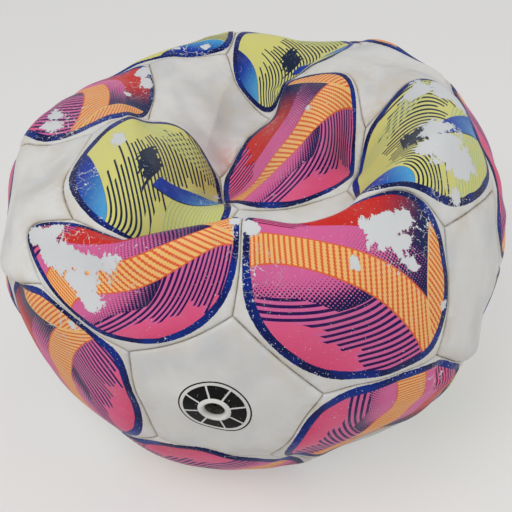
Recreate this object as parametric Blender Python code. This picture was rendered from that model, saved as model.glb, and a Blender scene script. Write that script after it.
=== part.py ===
"""A deflated size 5 soccer ball, sewn from thirty-two panels, that has sunk in at the top.

Twelve five-sided and twenty six-sided panels are separate shells, with a seam gap between
neighbours. Each one is laid out on the round ball first, and every point of it then moves to
where the slack casing has settled. A bladder and a rubber valve are inside.

The ball stands on the XY plane, centred on the Z axis. Its valve is at the front, towards -Y.
"""

import math

import bmesh
import bpy
import numpy as np
from mathutils import Vector

MM = 0.001

# Casing, in millimetres
BALL_RADIUS = 110.0  # blown up
CASING_THICKNESS = 2.4
SEAM_GAP = 0.5
SEAM_DEPTH = 1.6  # how far a panel's edge turns down into its seams
SHOULDER_WIDTH = 4.0  # width of the border that turns down
SHOULDER_DROP = 0.2  # how far the border has turned down where it starts
GROUND = -87.0  # the ground's height below the round ball's centre
GROUND_ROUNDING = 4.0
GROUND_BITE = 0.6  # what the ground presses flat

# Each panel is a fan of rings. The crumpled panels take more rings than the round ones.
RINGS_CRUMPLED = 6
RINGS_ROUND = 4

# Valve, turned about an axis through the middle of its panel
VALVE_HOLE_RADIUS = 4.6
VALVE_PLUG_RADIUS = 4.2
VALVE_BORE_RADIUS = 1.0
VALVE_DIMPLE_RADIUS = 2.6
VALVE_DIMPLE_DEPTH = 1.4
VALVE_RECESS = 0.7  # the plug's face below the casing's surface
VALVE_FLANGE_RADIUS = 9.0
VALVE_FLANGE_THICKNESS = 0.9
VALVE_FLANGE_CLEARANCE = 0.9  # below the casing's inside
VALVE_TAIL_RADIUS = 3.4
VALVE_LENGTH = 17.0
TURNING_STEPS = 24

# Bladder, slack in the bottom of the casing
BLADDER_RADIUS = 101.5
BLADDER_THICKNESS = 1.0
BLADDER_TOP = 4.0  # height of its sunken top above the round ball's centre
BLADDER_TOP_ROUNDING = 5.0
BLADDER_GROUND_CLEARANCE = 5.0
BLADDER_NECK_RADIUS = 4.4
BLADDER_RINGS = 12

# How the round ball is turned: azimuth (0 is -Y, positive towards +X) and elevation, in degrees
VALVE_DIRECTION = (-7.0, -8.0)
POCKET_DIRECTION = (6.0, 55.0)

# The pentagons, as steps round the valve: the near five, and the far five between them
NEAR_PENTAGONS = ("pocket", "right", "low_right", "low_left", "left")
FAR_PENTAGONS = ("shelf", "back_right", "under_back", "back_left", "basin")

HEXAGONS = {
    "front_left": ("valve", "pocket", "left"),
    "front_right": ("valve", "pocket", "right"),
    "lower_left": ("valve", "left", "low_left"),
    "lower_right": ("valve", "right", "low_right"),
    "chin": ("valve", "low_left", "low_right"),
    "lobe_left": ("pocket", "basin", "left"),
    "lobe_middle": ("pocket", "basin", "shelf"),
    "lobe_right": ("pocket", "shelf", "right"),
    "rim_back": ("basin", "shelf", "back"),
    "rim_left": ("basin", "left", "back_left"),
    "rim_right": ("shelf", "right", "back_right"),
    "rim_back_left": ("basin", "back_left", "back"),
    "rim_back_right": ("shelf", "back_right", "back"),
    "side_left": ("left", "low_left", "back_left"),
    "side_right": ("right", "low_right", "back_right"),
    "base": ("low_left", "low_right", "under_back"),
    "base_left": ("low_left", "back_left", "under_back"),
    "base_right": ("low_right", "back_right", "under_back"),
    "low_back_left": ("back_left", "under_back", "back"),
    "low_back_right": ("back_right", "under_back", "back"),
}

CRUMPLED = {
    "pocket", "basin", "shelf", "left", "front_left", "front_right", "lobe_left", "lobe_middle",
    "lobe_right", "rim_back", "rim_left", "rim_back_left",
}

LIME_PANELS = {"lobe_left", "lobe_right", "rim_back", "rim_back_left", "side_right", "base_left"}

# Where the slack casing has settled, in millimetres from the round ball's centre. One name is a
# panel's centre, two are the middle of their seam and three their corner. A number weights a name.
SETTLED = {
    # the front rim, and the panel folded down behind it into a deep pocket
    "front_left": (-40, -96, 35),
    "front_right": (35, -99, 38),
    "4 front_left + pocket + lobe_left": (-37, -89, 48),
    "2 front_left + pocket": (-21, -92, 54),
    "pocket + front_left + front_right": (-4, -89, 56),
    "pocket + front_right + lobe_right": (33, -79, 55),
    "front_right + lobe_right": (54, -71, 56),
    "pocket": (8, -72, 24),
    "pocket + front_left + lobe_left": (-27, -72, 28),
    "pocket + lobe_middle": (12, -44, 34),
    "pocket + lobe_left + lobe_middle": (-7, -43, 31),
    "pocket + lobe_middle + lobe_right": (35, -41, 38),
    # three lobes that stand up behind the pocket, with a valley on each side of the middle one
    "lobe_left": (-39, -42, 45),
    "lobe_middle": (20, -17, 51),
    "lobe_right": (63, -43, 63),
    "lobe_left + lobe_middle": (-13, -24, 22),
    "lobe_middle + lobe_right": (40, -26, 37),
    "lobe_middle + rim_back": (12, 35, 45),
    "lobe_right + rim_right": (92, -15, 44),
    "basin + lobe_left": (-29, 6, 38),
    "basin + lobe_left + lobe_middle": (-15, -4, 23),
    "basin + lobe_middle": (-4, 13, 30),
    "basin + lobe_middle + rim_back": (5, 36, 32),
    "shelf + lobe_middle": (39, 21, 58),
    "shelf + lobe_middle + rim_back": (21, 32, 54),
    "shelf + lobe_middle + lobe_right": (45, -3, 46),
    "shelf + lobe_right": (66, 7, 62),
    # the shallow basin at the back left and the shelf at the back right
    "basin": (-26, 35, 38),
    "basin + rim_left": (-47, 39, 43),
    "basin + rim_back": (-7, 56, 37),
    "basin + rim_left + lobe_left": (-46, 15, 41),
    "basin + rim_left + rim_back_left": (-50, 61, 47),
    "basin + rim_back + rim_back_left": (-14, 71, 47),
    "shelf": (56, 33, 58),
    "shelf + lobe_right + rim_right": (85, 1, 54),
    "shelf + rim_right": (88, 20, 47),
    "shelf + rim_right + rim_back_right": (83, 37, 50),
    "shelf + rim_back + rim_back_right": (49, 68, 54),
    # the rim round the back and the sides
    "rim_back": (18, 64, 42),
    "rim_left": (-75, 38, 44),
    "rim_back_left": (-44, 79, 40),
    "rim_back_right": (67, 66, 35),
    "rim_right": (104, 5, 21),
    "rim_left + rim_back_left": (-66, 60, 40),
    "rim_right + rim_back_right": (91, 37, 33),
    "back + rim_back + rim_back_left": (-8, 96, 47),
    "back + rim_back + rim_back_right": (38, 91, 42),
    # the left and right sides, which have slumped outwards
    "left": (-96, -42, 27),
    "left + rim_left": (-88, -1, 39),
    "left + lobe_left": (-71, -40, 44),
    "left + lobe_left + rim_left": (-67, -9, 46),
    "left + front_left": (-85, -59, 30),
    "left + front_left + lobe_left": (-67, -68, 43),
    "left + front_left + lower_left": (-81, -74, 17),
    "left + side_left": (-103, -30, 8),
    "left + rim_left + side_left": (-101, 0, 33),
    "rim_left + side_left": (-105, 15, 22),
    "right": (89, -59, 5),
    "right + front_right + lobe_right": (69, -72, 41),
    "right + lobe_right + rim_right": (96, -28, 30),
    "right + front_right + lower_right": (68, -88, -6),
    "right + side_right": (93, -46, -18),
    "right + rim_right": (99, -30, 12),
    "right + rim_right + side_right": (103, -31, -7),
    # the lower front, drawn in a little below the bulging sides
    "lower_left": (-75, -75, -23),
    "lower_right": (48, -87, -41),
    "low_right + lower_right": (45, -66, -70),
    "chin + low_right + lower_right": (25, -71, -75),
    # the valve's panel
    "valve": (-15, -108, -14),
    "valve + front_left + front_right": (-8, -107, 27),
    "valve + front_left + lower_left": (-46, -100, 5),
}
PENTAGON_WEIGHT = 1.1  # a pentagon is the smaller panel, so its seams are nearer to its centre
SAME_SPOT = math.radians(4.0)

# Colours, linear red, green and blue
WHITE_LEATHER = (0.62, 0.60, 0.56)
PINK_LEATHER = (0.62, 0.10, 0.24)
LIME_LEATHER = (0.50, 0.55, 0.16)
LATEX = (0.07, 0.07, 0.075)
RUBBER = (0.025, 0.025, 0.027)


def unit(vectors):
    """Vectors scaled to length one."""
    return vectors / np.linalg.norm(vectors, axis=-1, keepdims=True)


def direction(azimuth, elevation):
    """The unit vector at an azimuth and an elevation in degrees."""
    turn, lift = math.radians(azimuth), math.radians(elevation)
    return np.array([
        math.sin(turn) * math.cos(lift), -math.cos(turn) * math.cos(lift), math.sin(lift)])


# ---------------------------------------------------------------- layout of the round ball

def pentagon_centres():
    """Directions of the twelve pentagons, which are the corners of an icosahedron."""
    out = direction(*VALVE_DIRECTION)
    pocket = direction(*POCKET_DIRECTION)
    up = unit(pocket - (pocket @ out) * out)
    across = np.cross(up, out)
    tilt = math.atan(2.0)
    centres = {"valve": out, "back": -out}
    for step in range(5):
        turn = math.radians(72.0 * step)
        round_near = math.cos(turn) * up + math.sin(turn) * across
        round_far = math.cos(turn + math.radians(36.0)) * up + math.sin(turn + math.radians(36.0)) * across
        centres[NEAR_PENTAGONS[step]] = math.cos(tilt) * out + math.sin(tilt) * round_near
        centres[FAR_PENTAGONS[step]] = -math.cos(tilt) * out + math.sin(tilt) * round_far
    return centres


def panel_centres():
    """Directions of all thirty-two panel centres, by panel name."""
    pentagons = pentagon_centres()
    hexagons = {name: unit(sum(pentagons[near] for near in around)) for name, around in HEXAGONS.items()}
    return {**pentagons, **hexagons}


CENTRES = panel_centres()


def corner(pentagon, other):
    """The seam corner on the line from one pentagon to a neighbouring one."""
    return unit(2.0 * CENTRES[pentagon] + CENTRES[other])


def neighbours(pentagon):
    """The five pentagons next to a pentagon."""
    closest = math.cos(math.radians(70.0))
    return [name for name in CENTRES if name not in HEXAGONS and name != pentagon
            and CENTRES[name] @ CENTRES[pentagon] > closest]


def panel_corners(name):
    """A panel's corners, anticlockwise as seen from outside."""
    if name in HEXAGONS:
        around = HEXAGONS[name]
        points = [corner(one, two) for one in around for two in around if one != two]
    else:
        points = [corner(name, other) for other in neighbours(name)]
    centre = CENTRES[name]
    start = unit(points[0] - (points[0] @ centre) * centre)
    side = np.cross(centre, start)
    return sorted(points, key=lambda point: math.atan2(point @ side, point @ start))


# ---------------------------------------------------------------- shape of the slack casing

def spot(label):
    """The direction of a label from SETTLED: a centre, a seam's middle or a corner."""
    total = np.zeros(3)
    for term in label.split(" + "):
        *count, name = term.split()
        weight = float(count[0]) if count else 1.0
        total += weight * (1.0 if name in HEXAGONS else PENTAGON_WEIGHT) * CENTRES[name]
    return unit(total)


def landmark_directions():
    """Every panel centre and every seam corner of the round ball."""
    pentagons = [name for name in CENTRES if name not in HEXAGONS]
    corners = [corner(name, other) for name in pentagons for other in neighbours(name)]
    return list(CENTRES.values()) + corners


class SlackCasing:
    """Moves points of the round ball to where the slack casing has settled.

    A smooth spline over the ball carries the displacements listed in SETTLED, and it holds every
    other centre and corner where it is on the round ball.
    """

    def __init__(self):
        spots = [spot(label) for label in SETTLED]
        moves = [np.array(place, float) - BALL_RADIUS * at for at, place in zip(spots, SETTLED.values())]
        listed = np.array(spots)
        for landmark in landmark_directions():
            if np.max(listed @ landmark) < math.cos(SAME_SPOT):
                spots.append(landmark)
                moves.append(np.zeros(3))
        self.spots = np.array(spots)
        count = len(spots)
        system = np.zeros((count + 4, count + 4))
        system[:count, :count] = self.kernel(self.spots)
        system[:count, count] = 1.0
        system[:count, count + 1:] = self.spots
        system[count:, :count] = system[:count, count:].T
        wanted = np.zeros((count + 4, 3))
        wanted[:count] = moves
        self.weights = np.linalg.solve(system, wanted)

    def kernel(self, directions):
        """The cube of the distance from each direction to each spot."""
        squared = np.maximum(2.0 - 2.0 * directions @ self.spots.T, 0.0)
        return squared * np.sqrt(squared)

    def surface(self, directions):
        """Points of the casing's outer surface, in millimetres above the ground."""
        count = len(self.spots)
        moved = self.kernel(directions) @ self.weights[:count]
        moved += self.weights[count] + directions @ self.weights[count + 1:]
        points = BALL_RADIUS * directions + moved
        above = points[:, 2] - GROUND
        rounded = 0.5 * (above + np.sqrt(above ** 2 + GROUND_ROUNDING ** 2))
        points[:, 2] = np.maximum(rounded - GROUND_BITE, 0.0)
        return points

    def normals(self, directions):
        """Outward normals of the outer surface."""
        step = 0.004
        away = np.where(np.abs(directions[:, 2:3]) < 0.9, [[0.0, 0.0, 1.0]], [[1.0, 0.0, 0.0]])
        first = unit(np.cross(away, directions))
        second = np.cross(directions, first)
        along = self.surface(unit(directions + step * first)) - self.surface(unit(directions - step * first))
        across = self.surface(unit(directions + step * second)) - self.surface(unit(directions - step * second))
        return unit(np.cross(along, across))


# ---------------------------------------------------------------- panels

def apothem(name):
    """The distance over the round ball from a panel's centre to the middle of its seams."""
    corners = panel_corners(name)
    middle = unit(corners[0] + corners[1])
    return BALL_RADIUS * math.acos(CENTRES[name] @ middle)


def ring_places(name, rings, first=0.0):
    """How far out each ring lies, from the centre at 0 to the seam at 1."""
    reach = apothem(name)
    edge = 1.0 - 0.5 * SEAM_GAP / reach
    shoulder = edge - SHOULDER_WIDTH / reach
    inner = np.linspace(first, shoulder, rings)
    return np.append(inner, edge)


def fan_directions(name, places):
    """Directions on a panel, ring by ring. Ring k has k points along each side."""
    centre, corners = CENTRES[name], panel_corners(name)
    points = [centre]
    for ring in range(1, len(places)):
        for side in range(len(corners)):
            for step in range(ring):
                part = step / ring
                on_side = (1.0 - part) * corners[side] + part * corners[(side + 1) % len(corners)]
                points.append((1.0 - places[ring]) * centre + places[ring] * on_side)
    return unit(np.array(points))


def fan_faces(sides, rings):
    """Triangles of a fan of rings, and the point numbers of its outermost ring."""
    def number(ring, place):
        if ring == 0:
            return 0
        before = 1 + sides * ring * (ring - 1) // 2
        return before + place % (sides * ring)

    faces = []
    for ring in range(1, rings + 1):
        for side in range(sides):
            for step in range(ring):
                outer = side * ring + step
                inner = side * (ring - 1) + step
                faces.append((number(ring - 1, inner), number(ring, outer), number(ring, outer + 1)))
                if step < ring - 1:
                    faces.append((number(ring - 1, inner), number(ring, outer + 1), number(ring - 1, inner + 1)))
    rim = [number(rings, place) for place in range(sides * rings)]
    return faces, rim


def holed_directions(name, places, steps):
    """Directions on a panel with a round hole: rings that change from a circle to the outline."""
    centre, corners = CENTRES[name], panel_corners(name)
    reach = apothem(name) / BALL_RADIUS
    points = []
    for place in places:
        squareness = ((place - places[0]) / (places[-1] - places[0])) ** 0.5
        for side in range(len(corners)):
            for step in range(steps):
                part = step / steps
                on_side = (1.0 - part) * corners[side] + part * corners[(side + 1) % len(corners)]
                outline = (1.0 - place) * centre + place * on_side
                round_way = unit(on_side - (on_side @ centre) * centre)
                circle = centre + math.tan(place * reach) * round_way
                points.append(squareness * unit(outline) + (1.0 - squareness) * unit(circle))
    return unit(np.array(points))


def band_faces(around, rings):
    """Triangles between rings that have the same number of points."""
    faces = []
    for ring in range(rings - 1):
        for place in range(around):
            here = ring * around + place
            beside = ring * around + (place + 1) % around
            faces.append((here, here + around, beside + around))
            faces.append((here, beside + around, beside))
    return faces


def close_shell(outer, inner, faces, rims):
    """Vertices and faces of a shell: an outer skin, an inner skin and a wall round each rim."""
    count = len(outer)
    shell = list(faces)
    shell += [(c + count, b + count, a + count) for a, b, c in faces]
    for rim in rims:
        for here, beside in zip(rim, rim[1:] + rim[:1]):
            shell.append((here, here + count, beside + count))
            shell.append((here, beside + count, beside))
    return np.concatenate([outer, inner]), shell


def edge_drops(count, edge_points):
    """How far each point of a panel lies below the casing's surface."""
    drops = np.zeros(count)
    drops[count - edge_points:] = SEAM_DEPTH
    return drops


def panel_shell(name, casing):
    """A sewn panel as a closed shell with its edge turned down into the seams."""
    sides = len(panel_corners(name))
    rings = RINGS_CRUMPLED if name in CRUMPLED else RINGS_ROUND
    directions = fan_directions(name, ring_places(name, rings))
    faces, rim = fan_faces(sides, rings)
    drops = edge_drops(len(directions), sides * rings)
    shoulder = len(directions) - sides * rings - sides * (rings - 1)
    drops[shoulder:len(directions) - sides * rings] = SHOULDER_DROP
    points, normals = casing.surface(directions), casing.normals(directions)
    outer = points - drops[:, None] * normals
    inner = points - CASING_THICKNESS * normals
    return close_shell(outer, inner, faces, [rim])


def valve_panel_shell(name, casing):
    """The panel with the hole for the valve."""
    sides = len(panel_corners(name))
    around = sides * RINGS_ROUND
    places = ring_places(name, RINGS_ROUND, first=VALVE_HOLE_RADIUS / apothem(name))
    directions = holed_directions(name, places, RINGS_ROUND)
    drops = edge_drops(len(directions), around)
    drops[-2 * around:-around] = SHOULDER_DROP
    points, normals = casing.surface(directions), casing.normals(directions)
    outer = points - drops[:, None] * normals
    inner = points - CASING_THICKNESS * normals
    hole = list(range(around))[::-1]
    rim = list(range(len(directions) - around, len(directions)))
    return close_shell(outer, inner, band_faces(around, len(places)), [rim, hole])


# ---------------------------------------------------------------- valve and bladder

def valve_axis(casing):
    """The middle of the valve's hole on the casing's surface, and the way out of the ball."""
    centre = CENTRES["valve"][None]
    return casing.surface(centre)[0], casing.normals(centre)[0]


def turned(profile, origin, axis, steps):
    """A closed profile of radius and height, turned about an axis."""
    side = unit(np.cross(axis, [0.0, 0.0, 1.0]))
    up = np.cross(side, axis)
    points = []
    for radius, height in profile:
        for step in range(steps):
            turn = 2.0 * math.pi * step / steps
            points.append(origin + height * axis + radius * (math.cos(turn) * side + math.sin(turn) * up))
    faces = []
    for ring in range(len(profile)):
        following = (ring + 1) % len(profile)
        for step in range(steps):
            beside = (step + 1) % steps
            here, there = ring * steps, following * steps
            faces.append((here + step, there + beside, there + step))
            faces.append((here + step, here + beside, there + beside))
    return np.array(points), faces


def valve_shell(casing):
    """The rubber valve: a plug in the casing's hole, a flange under it and a tail in the bladder."""
    origin, axis = valve_axis(casing)
    face = -VALVE_RECESS
    flange_top = -CASING_THICKNESS - VALVE_FLANGE_CLEARANCE
    flange_bottom = flange_top - VALVE_FLANGE_THICKNESS
    profile = [
        (VALVE_PLUG_RADIUS, face),
        (VALVE_PLUG_RADIUS, flange_top),
        (VALVE_FLANGE_RADIUS, flange_top),
        (VALVE_FLANGE_RADIUS, flange_bottom),
        (VALVE_TAIL_RADIUS, flange_bottom),
        (VALVE_TAIL_RADIUS, face - VALVE_LENGTH),
        (VALVE_BORE_RADIUS, face - VALVE_LENGTH),
        (VALVE_BORE_RADIUS, face - VALVE_DIMPLE_DEPTH),
        (VALVE_DIMPLE_RADIUS, face),
    ]
    return turned(profile, origin, axis, TURNING_STEPS)


def bladder_skin(directions, inset):
    """Points of the slack bladder's skin, a given distance inside its outer surface."""
    points = (BLADDER_RADIUS - inset) * directions
    top = BLADDER_TOP - inset
    below_top = top - points[:, 2]
    sunk = 0.5 * (below_top + np.sqrt(below_top ** 2 + BLADDER_TOP_ROUNDING ** 2))
    points[:, 2] = top - sunk
    floor = GROUND + BLADDER_GROUND_CLEARANCE + inset
    above_floor = points[:, 2] - floor
    lifted = 0.5 * (above_floor + np.sqrt(above_floor ** 2 + GROUND_ROUNDING ** 2))
    points[:, 2] = floor + lifted - GROUND
    return points


def bladder_neck(casing):
    """The direction in which the valve's axis goes through the bladder's skin."""
    origin, axis = valve_axis(casing)
    place = origin + [0.0, 0.0, GROUND]
    outward = place @ axis
    depth = outward - math.sqrt(outward ** 2 - place @ place + BLADDER_RADIUS ** 2)
    return unit(place - depth * axis)


def bladder_shell(casing):
    """The bladder: a thin bag with a neck hole round the valve's tail."""
    centre = bladder_neck(casing)
    side = unit(np.cross(centre, [0.0, 0.0, 1.0]))
    up = np.cross(side, centre)
    neck = BLADDER_NECK_RADIUS / BLADDER_RADIUS
    directions = []
    for ring in range(BLADDER_RINGS):
        angle = neck + (math.pi - neck) * (ring / BLADDER_RINGS) ** 1.3
        for step in range(TURNING_STEPS):
            turn = 2.0 * math.pi * step / TURNING_STEPS
            directions.append(math.cos(angle) * centre + math.sin(angle) * (
                math.cos(turn) * side + math.sin(turn) * up))
    directions.append(-centre)
    directions = np.array(directions)
    faces = band_faces(TURNING_STEPS, BLADDER_RINGS)
    last, pole = (BLADDER_RINGS - 1) * TURNING_STEPS, len(directions) - 1
    faces += [(last + step, pole, last + (step + 1) % TURNING_STEPS) for step in range(TURNING_STEPS)]
    hole = list(range(TURNING_STEPS))[::-1]
    return close_shell(
        bladder_skin(directions, 0.0), bladder_skin(directions, BLADDER_THICKNESS), faces, [hole])


# ---------------------------------------------------------------- objects

def clear_scene():
    """Remove every object of the scene."""
    for item in list(bpy.data.objects):
        bpy.data.objects.remove(item, do_unlink=True)


def material(name, colour, roughness):
    """A plain Principled material."""
    made = bpy.data.materials.new(name)
    made.use_nodes = True
    shader = made.node_tree.nodes["Principled BSDF"]
    shader.inputs["Base Color"].default_value = (*colour, 1.0)
    shader.inputs["Roughness"].default_value = roughness
    shader.inputs["Metallic"].default_value = 0.0
    return made


def add_object(name, shell, colour, roughness, parent):
    """Make one piece from vertices in millimetres, with its origin in the middle of them."""
    points, faces = shell
    middle = Vector(points.mean(axis=0)) * MM
    mesh = bpy.data.meshes.new(name)
    mesh.from_pydata([tuple(Vector(point) * MM - middle) for point in points], [], faces)
    tidy = bmesh.new()
    tidy.from_mesh(mesh)
    bmesh.ops.recalc_face_normals(tidy, faces=tidy.faces)
    tidy.to_mesh(mesh)
    tidy.free()
    mesh.shade_smooth()
    mesh.set_sharp_from_angle(angle=math.radians(40.0))
    mesh.materials.append(material(name, colour, roughness))
    piece = bpy.data.objects.new(name, mesh)
    piece.location = middle
    piece.parent = parent
    bpy.context.collection.objects.link(piece)
    return piece


def main():
    """Build the ball."""
    clear_scene()
    ball = bpy.data.objects.new("ball", None)
    bpy.context.collection.objects.link(ball)
    casing = SlackCasing()
    for name in CENTRES:
        if name in HEXAGONS:
            colour = LIME_LEATHER if name in LIME_PANELS else PINK_LEATHER
            add_object("hexagon_" + name, panel_shell(name, casing), colour, 0.45, ball)
        elif name == "valve":
            add_object("pentagon_valve", valve_panel_shell(name, casing), WHITE_LEATHER, 0.5, ball)
        else:
            add_object("pentagon_" + name, panel_shell(name, casing), WHITE_LEATHER, 0.5, ball)
    add_object("valve_plug", valve_shell(casing), RUBBER, 0.6, ball)
    add_object("bladder", bladder_shell(casing), LATEX, 0.7, ball)


if __name__ == "__main__":
    main()
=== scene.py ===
"""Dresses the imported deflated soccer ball: printed and worn panels, seams, valve and bladder.

Lengths of the ball are in millimetres until a mesh is made, and the meshes are in metres. The
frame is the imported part's own: the ground is the XY plane and the valve faces -Y.
"""

import itertools
import logging
import math
from dataclasses import dataclass, field
from enum import Enum
from typing import Union

import bpy
import numpy as np
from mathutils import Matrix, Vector


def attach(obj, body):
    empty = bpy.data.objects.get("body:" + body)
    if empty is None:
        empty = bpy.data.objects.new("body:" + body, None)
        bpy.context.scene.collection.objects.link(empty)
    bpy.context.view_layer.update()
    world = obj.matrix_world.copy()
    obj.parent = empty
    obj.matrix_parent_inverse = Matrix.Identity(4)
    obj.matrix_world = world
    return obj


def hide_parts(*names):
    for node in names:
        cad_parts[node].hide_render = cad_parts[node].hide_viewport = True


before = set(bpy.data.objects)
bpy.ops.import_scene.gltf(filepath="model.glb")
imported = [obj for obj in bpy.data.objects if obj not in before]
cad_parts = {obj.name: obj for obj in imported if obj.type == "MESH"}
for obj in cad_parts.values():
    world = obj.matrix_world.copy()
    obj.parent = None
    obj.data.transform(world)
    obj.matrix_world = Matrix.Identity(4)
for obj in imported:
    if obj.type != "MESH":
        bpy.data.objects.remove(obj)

LOG = logging.getLogger("soccer_ball")
MM = 0.001
BODY = "root"

Array = np.ndarray
Colour = tuple[float, float, float]


def unit(vectors: Array) -> Array:
    """Vectors scaled to length one."""
    return vectors / np.linalg.norm(vectors, axis=-1, keepdims=True)


def between(one: Array, two: Array, part: Array | float) -> Array:
    """Places on the straight way from one to two, where part goes from 0 to 1."""
    return (1.0 - part) * one + part * two


def direction(azimuth: float, elevation: float) -> Array:
    """A direction from its two angles.

    Args:
        azimuth: the angle from -Y towards +X, in degrees.
        elevation: the angle above level, in degrees.

    Returns:
        The unit vector.
    """
    turn, lift = math.radians(azimuth), math.radians(elevation)
    return np.array([
        math.sin(turn) * math.cos(lift), -math.cos(turn) * math.cos(lift), math.sin(lift)])


def srgb(red: int, green: int, blue: int) -> Colour:
    """A colour written in steps from 0 to 255.

    Args:
        red: the steps of red.
        green: the steps of green.
        blue: the steps of blue.

    Returns:
        Linear red, green and blue.
    """
    return tuple(
        part / 12.92 if part <= 0.04045 else ((part + 0.055) / 1.055) ** 2.4
        for part in (red / 255, green / 255, blue / 255))


# ------------------------------------------------------------------ layout of the round ball

NEAR_PENTAGONS = ("pocket", "right", "low_right", "low_left", "left")
FAR_PENTAGONS = ("shelf", "back_right", "under_back", "back_left", "basin")
HEXAGONS = {
    "front_left": ("valve", "pocket", "left"),
    "front_right": ("valve", "pocket", "right"),
    "lower_left": ("valve", "left", "low_left"),
    "lower_right": ("valve", "right", "low_right"),
    "chin": ("valve", "low_left", "low_right"),
    "lobe_left": ("pocket", "basin", "left"),
    "lobe_middle": ("pocket", "basin", "shelf"),
    "lobe_right": ("pocket", "shelf", "right"),
    "rim_back": ("basin", "shelf", "back"),
    "rim_left": ("basin", "left", "back_left"),
    "rim_right": ("shelf", "right", "back_right"),
    "rim_back_left": ("basin", "back_left", "back"),
    "rim_back_right": ("shelf", "back_right", "back"),
    "side_left": ("left", "low_left", "back_left"),
    "side_right": ("right", "low_right", "back_right"),
    "base": ("low_left", "low_right", "under_back"),
    "base_left": ("low_left", "back_left", "under_back"),
    "base_right": ("low_right", "back_right", "under_back"),
    "low_back_left": ("back_left", "under_back", "back"),
    "low_back_right": ("back_right", "under_back", "back"),
}


class Layout:
    """Where the panels' centres and corners are on the round ball, as unit vectors."""

    VALVE_DIRECTION = (-7.0, -8.0)
    POCKET_DIRECTION = (6.0, 55.0)
    PENTAGON_WEIGHT = 1.1  # a seam's middle lies a little nearer to a pentagon than to a hexagon
    NEIGHBOUR_ANGLE = 70.0  # more than from a pentagon to the next, less than to the one after

    def __init__(self) -> None:
        """Places the twelve pentagons on the corners of an icosahedron, and the rest between."""
        out, pocket = direction(*self.VALVE_DIRECTION), direction(*self.POCKET_DIRECTION)
        up = unit(pocket - (pocket @ out) * out)
        across = np.cross(up, out)
        tilt = math.atan(2.0)  # from a pentagon's centre to the next one's
        self.centres: dict[str, Array] = {"valve": out, "back": -out}
        for step in range(5):
            near, far = math.radians(72.0 * step), math.radians(72.0 * step + 36.0)
            round_near = math.cos(near) * up + math.sin(near) * across
            round_far = math.cos(far) * up + math.sin(far) * across
            self.centres[NEAR_PENTAGONS[step]] = math.cos(tilt) * out + math.sin(tilt) * round_near
            self.centres[FAR_PENTAGONS[step]] = -math.cos(tilt) * out + math.sin(tilt) * round_far
        self.pentagons = list(self.centres)
        for name, around in HEXAGONS.items():
            self.centres[name] = unit(sum(self.centres[near] for near in around))

    def corner(self, pentagon: str, other: str) -> Array:
        """The seam corner a third of the way from one pentagon to a neighbouring one."""
        return unit(2.0 * self.centres[pentagon] + self.centres[other])

    def neighbours(self, pentagon: str) -> list[str]:
        """The pentagons next to a pentagon.

        Args:
            pentagon: its name.

        Returns:
            The names of the five.
        """
        closest = math.cos(math.radians(self.NEIGHBOUR_ANGLE))
        return [name for name in self.pentagons if name != pentagon
                and self.centres[name] @ self.centres[pentagon] > closest]

    def corners(self, name: str) -> list[Array]:
        """A panel's corners.

        Args:
            name: the panel.

        Returns:
            Their directions, anticlockwise as seen from outside.
        """
        if name in HEXAGONS:
            around = HEXAGONS[name]
            points = [self.corner(one, two) for one in around for two in around if one != two]
        else:
            points = [self.corner(name, other) for other in self.neighbours(name)]
        centre = self.centres[name]
        start = unit(points[0] - (points[0] @ centre) * centre)
        side = np.cross(centre, start)
        return sorted(points, key=lambda point: math.atan2(point @ side, point @ start))

    def sides(self, name: str) -> list[tuple[Array, Array]]:
        """A panel's sides, each as the corners at its ends."""
        corners = self.corners(name)
        return list(zip(corners, corners[1:] + corners[:1]))

    def spot(self, label: str) -> Array:
        """The place that a label names on the round ball.

        Args:
            label: one panel for its centre, two for a seam's middle and three for a corner. A
                number before a name pulls the place towards that panel.

        Returns:
            The direction.
        """
        total = np.zeros(3)
        for term in label.split(" + "):
            *count, name = term.split()
            weight = float(count[0]) if count else 1.0
            weight *= 1.0 if name in HEXAGONS else self.PENTAGON_WEIGHT
            total += weight * self.centres[name]
        return unit(total)

    def on_panel(self, name: str, across: float, up: float, radius: float) -> Array:
        """The direction of a place on a panel laid flat.

        Args:
            name: the panel.
            across: how far to the right of its centre the place is, in millimetres.
            up: how far above its centre.
            radius: the round ball's radius.

        Returns:
            The direction.
        """
        sideways, upward = self.axes(name)
        reach = max(math.hypot(across, up), 1e-9)
        away = (across * sideways + up * upward) / reach
        return math.cos(reach / radius) * self.centres[name] + math.sin(reach / radius) * away

    def axes(self, name: str) -> tuple[Array, Array]:
        """The ways across and up a panel at its centre.

        Args:
            name: the panel.

        Returns:
            Two unit vectors.
        """
        centre = self.centres[name]
        upward = unit(np.array([0.0, 0.0, 1.0]) - centre[2] * centre)
        return np.cross(upward, centre), upward

    def landmarks(self) -> list[Array]:
        """Every panel centre and every seam corner."""
        return list(self.centres.values()) + [
            self.corner(name, other) for name in self.pentagons for other in self.neighbours(name)]

    def seams(self) -> list[tuple[Array, Array]]:
        """The ninety seams.

        Returns:
            The directions of the two ends of each.
        """
        found: dict[tuple[float, ...], tuple[Array, Array]] = {}
        for name in self.centres:
            for one, two in self.sides(name):
                found[tuple(np.round(one + two, 3))] = (one, two)
        return list(found.values())


LAYOUT = Layout()


# ------------------------------------------------------------------ shape of the slack casing

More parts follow.
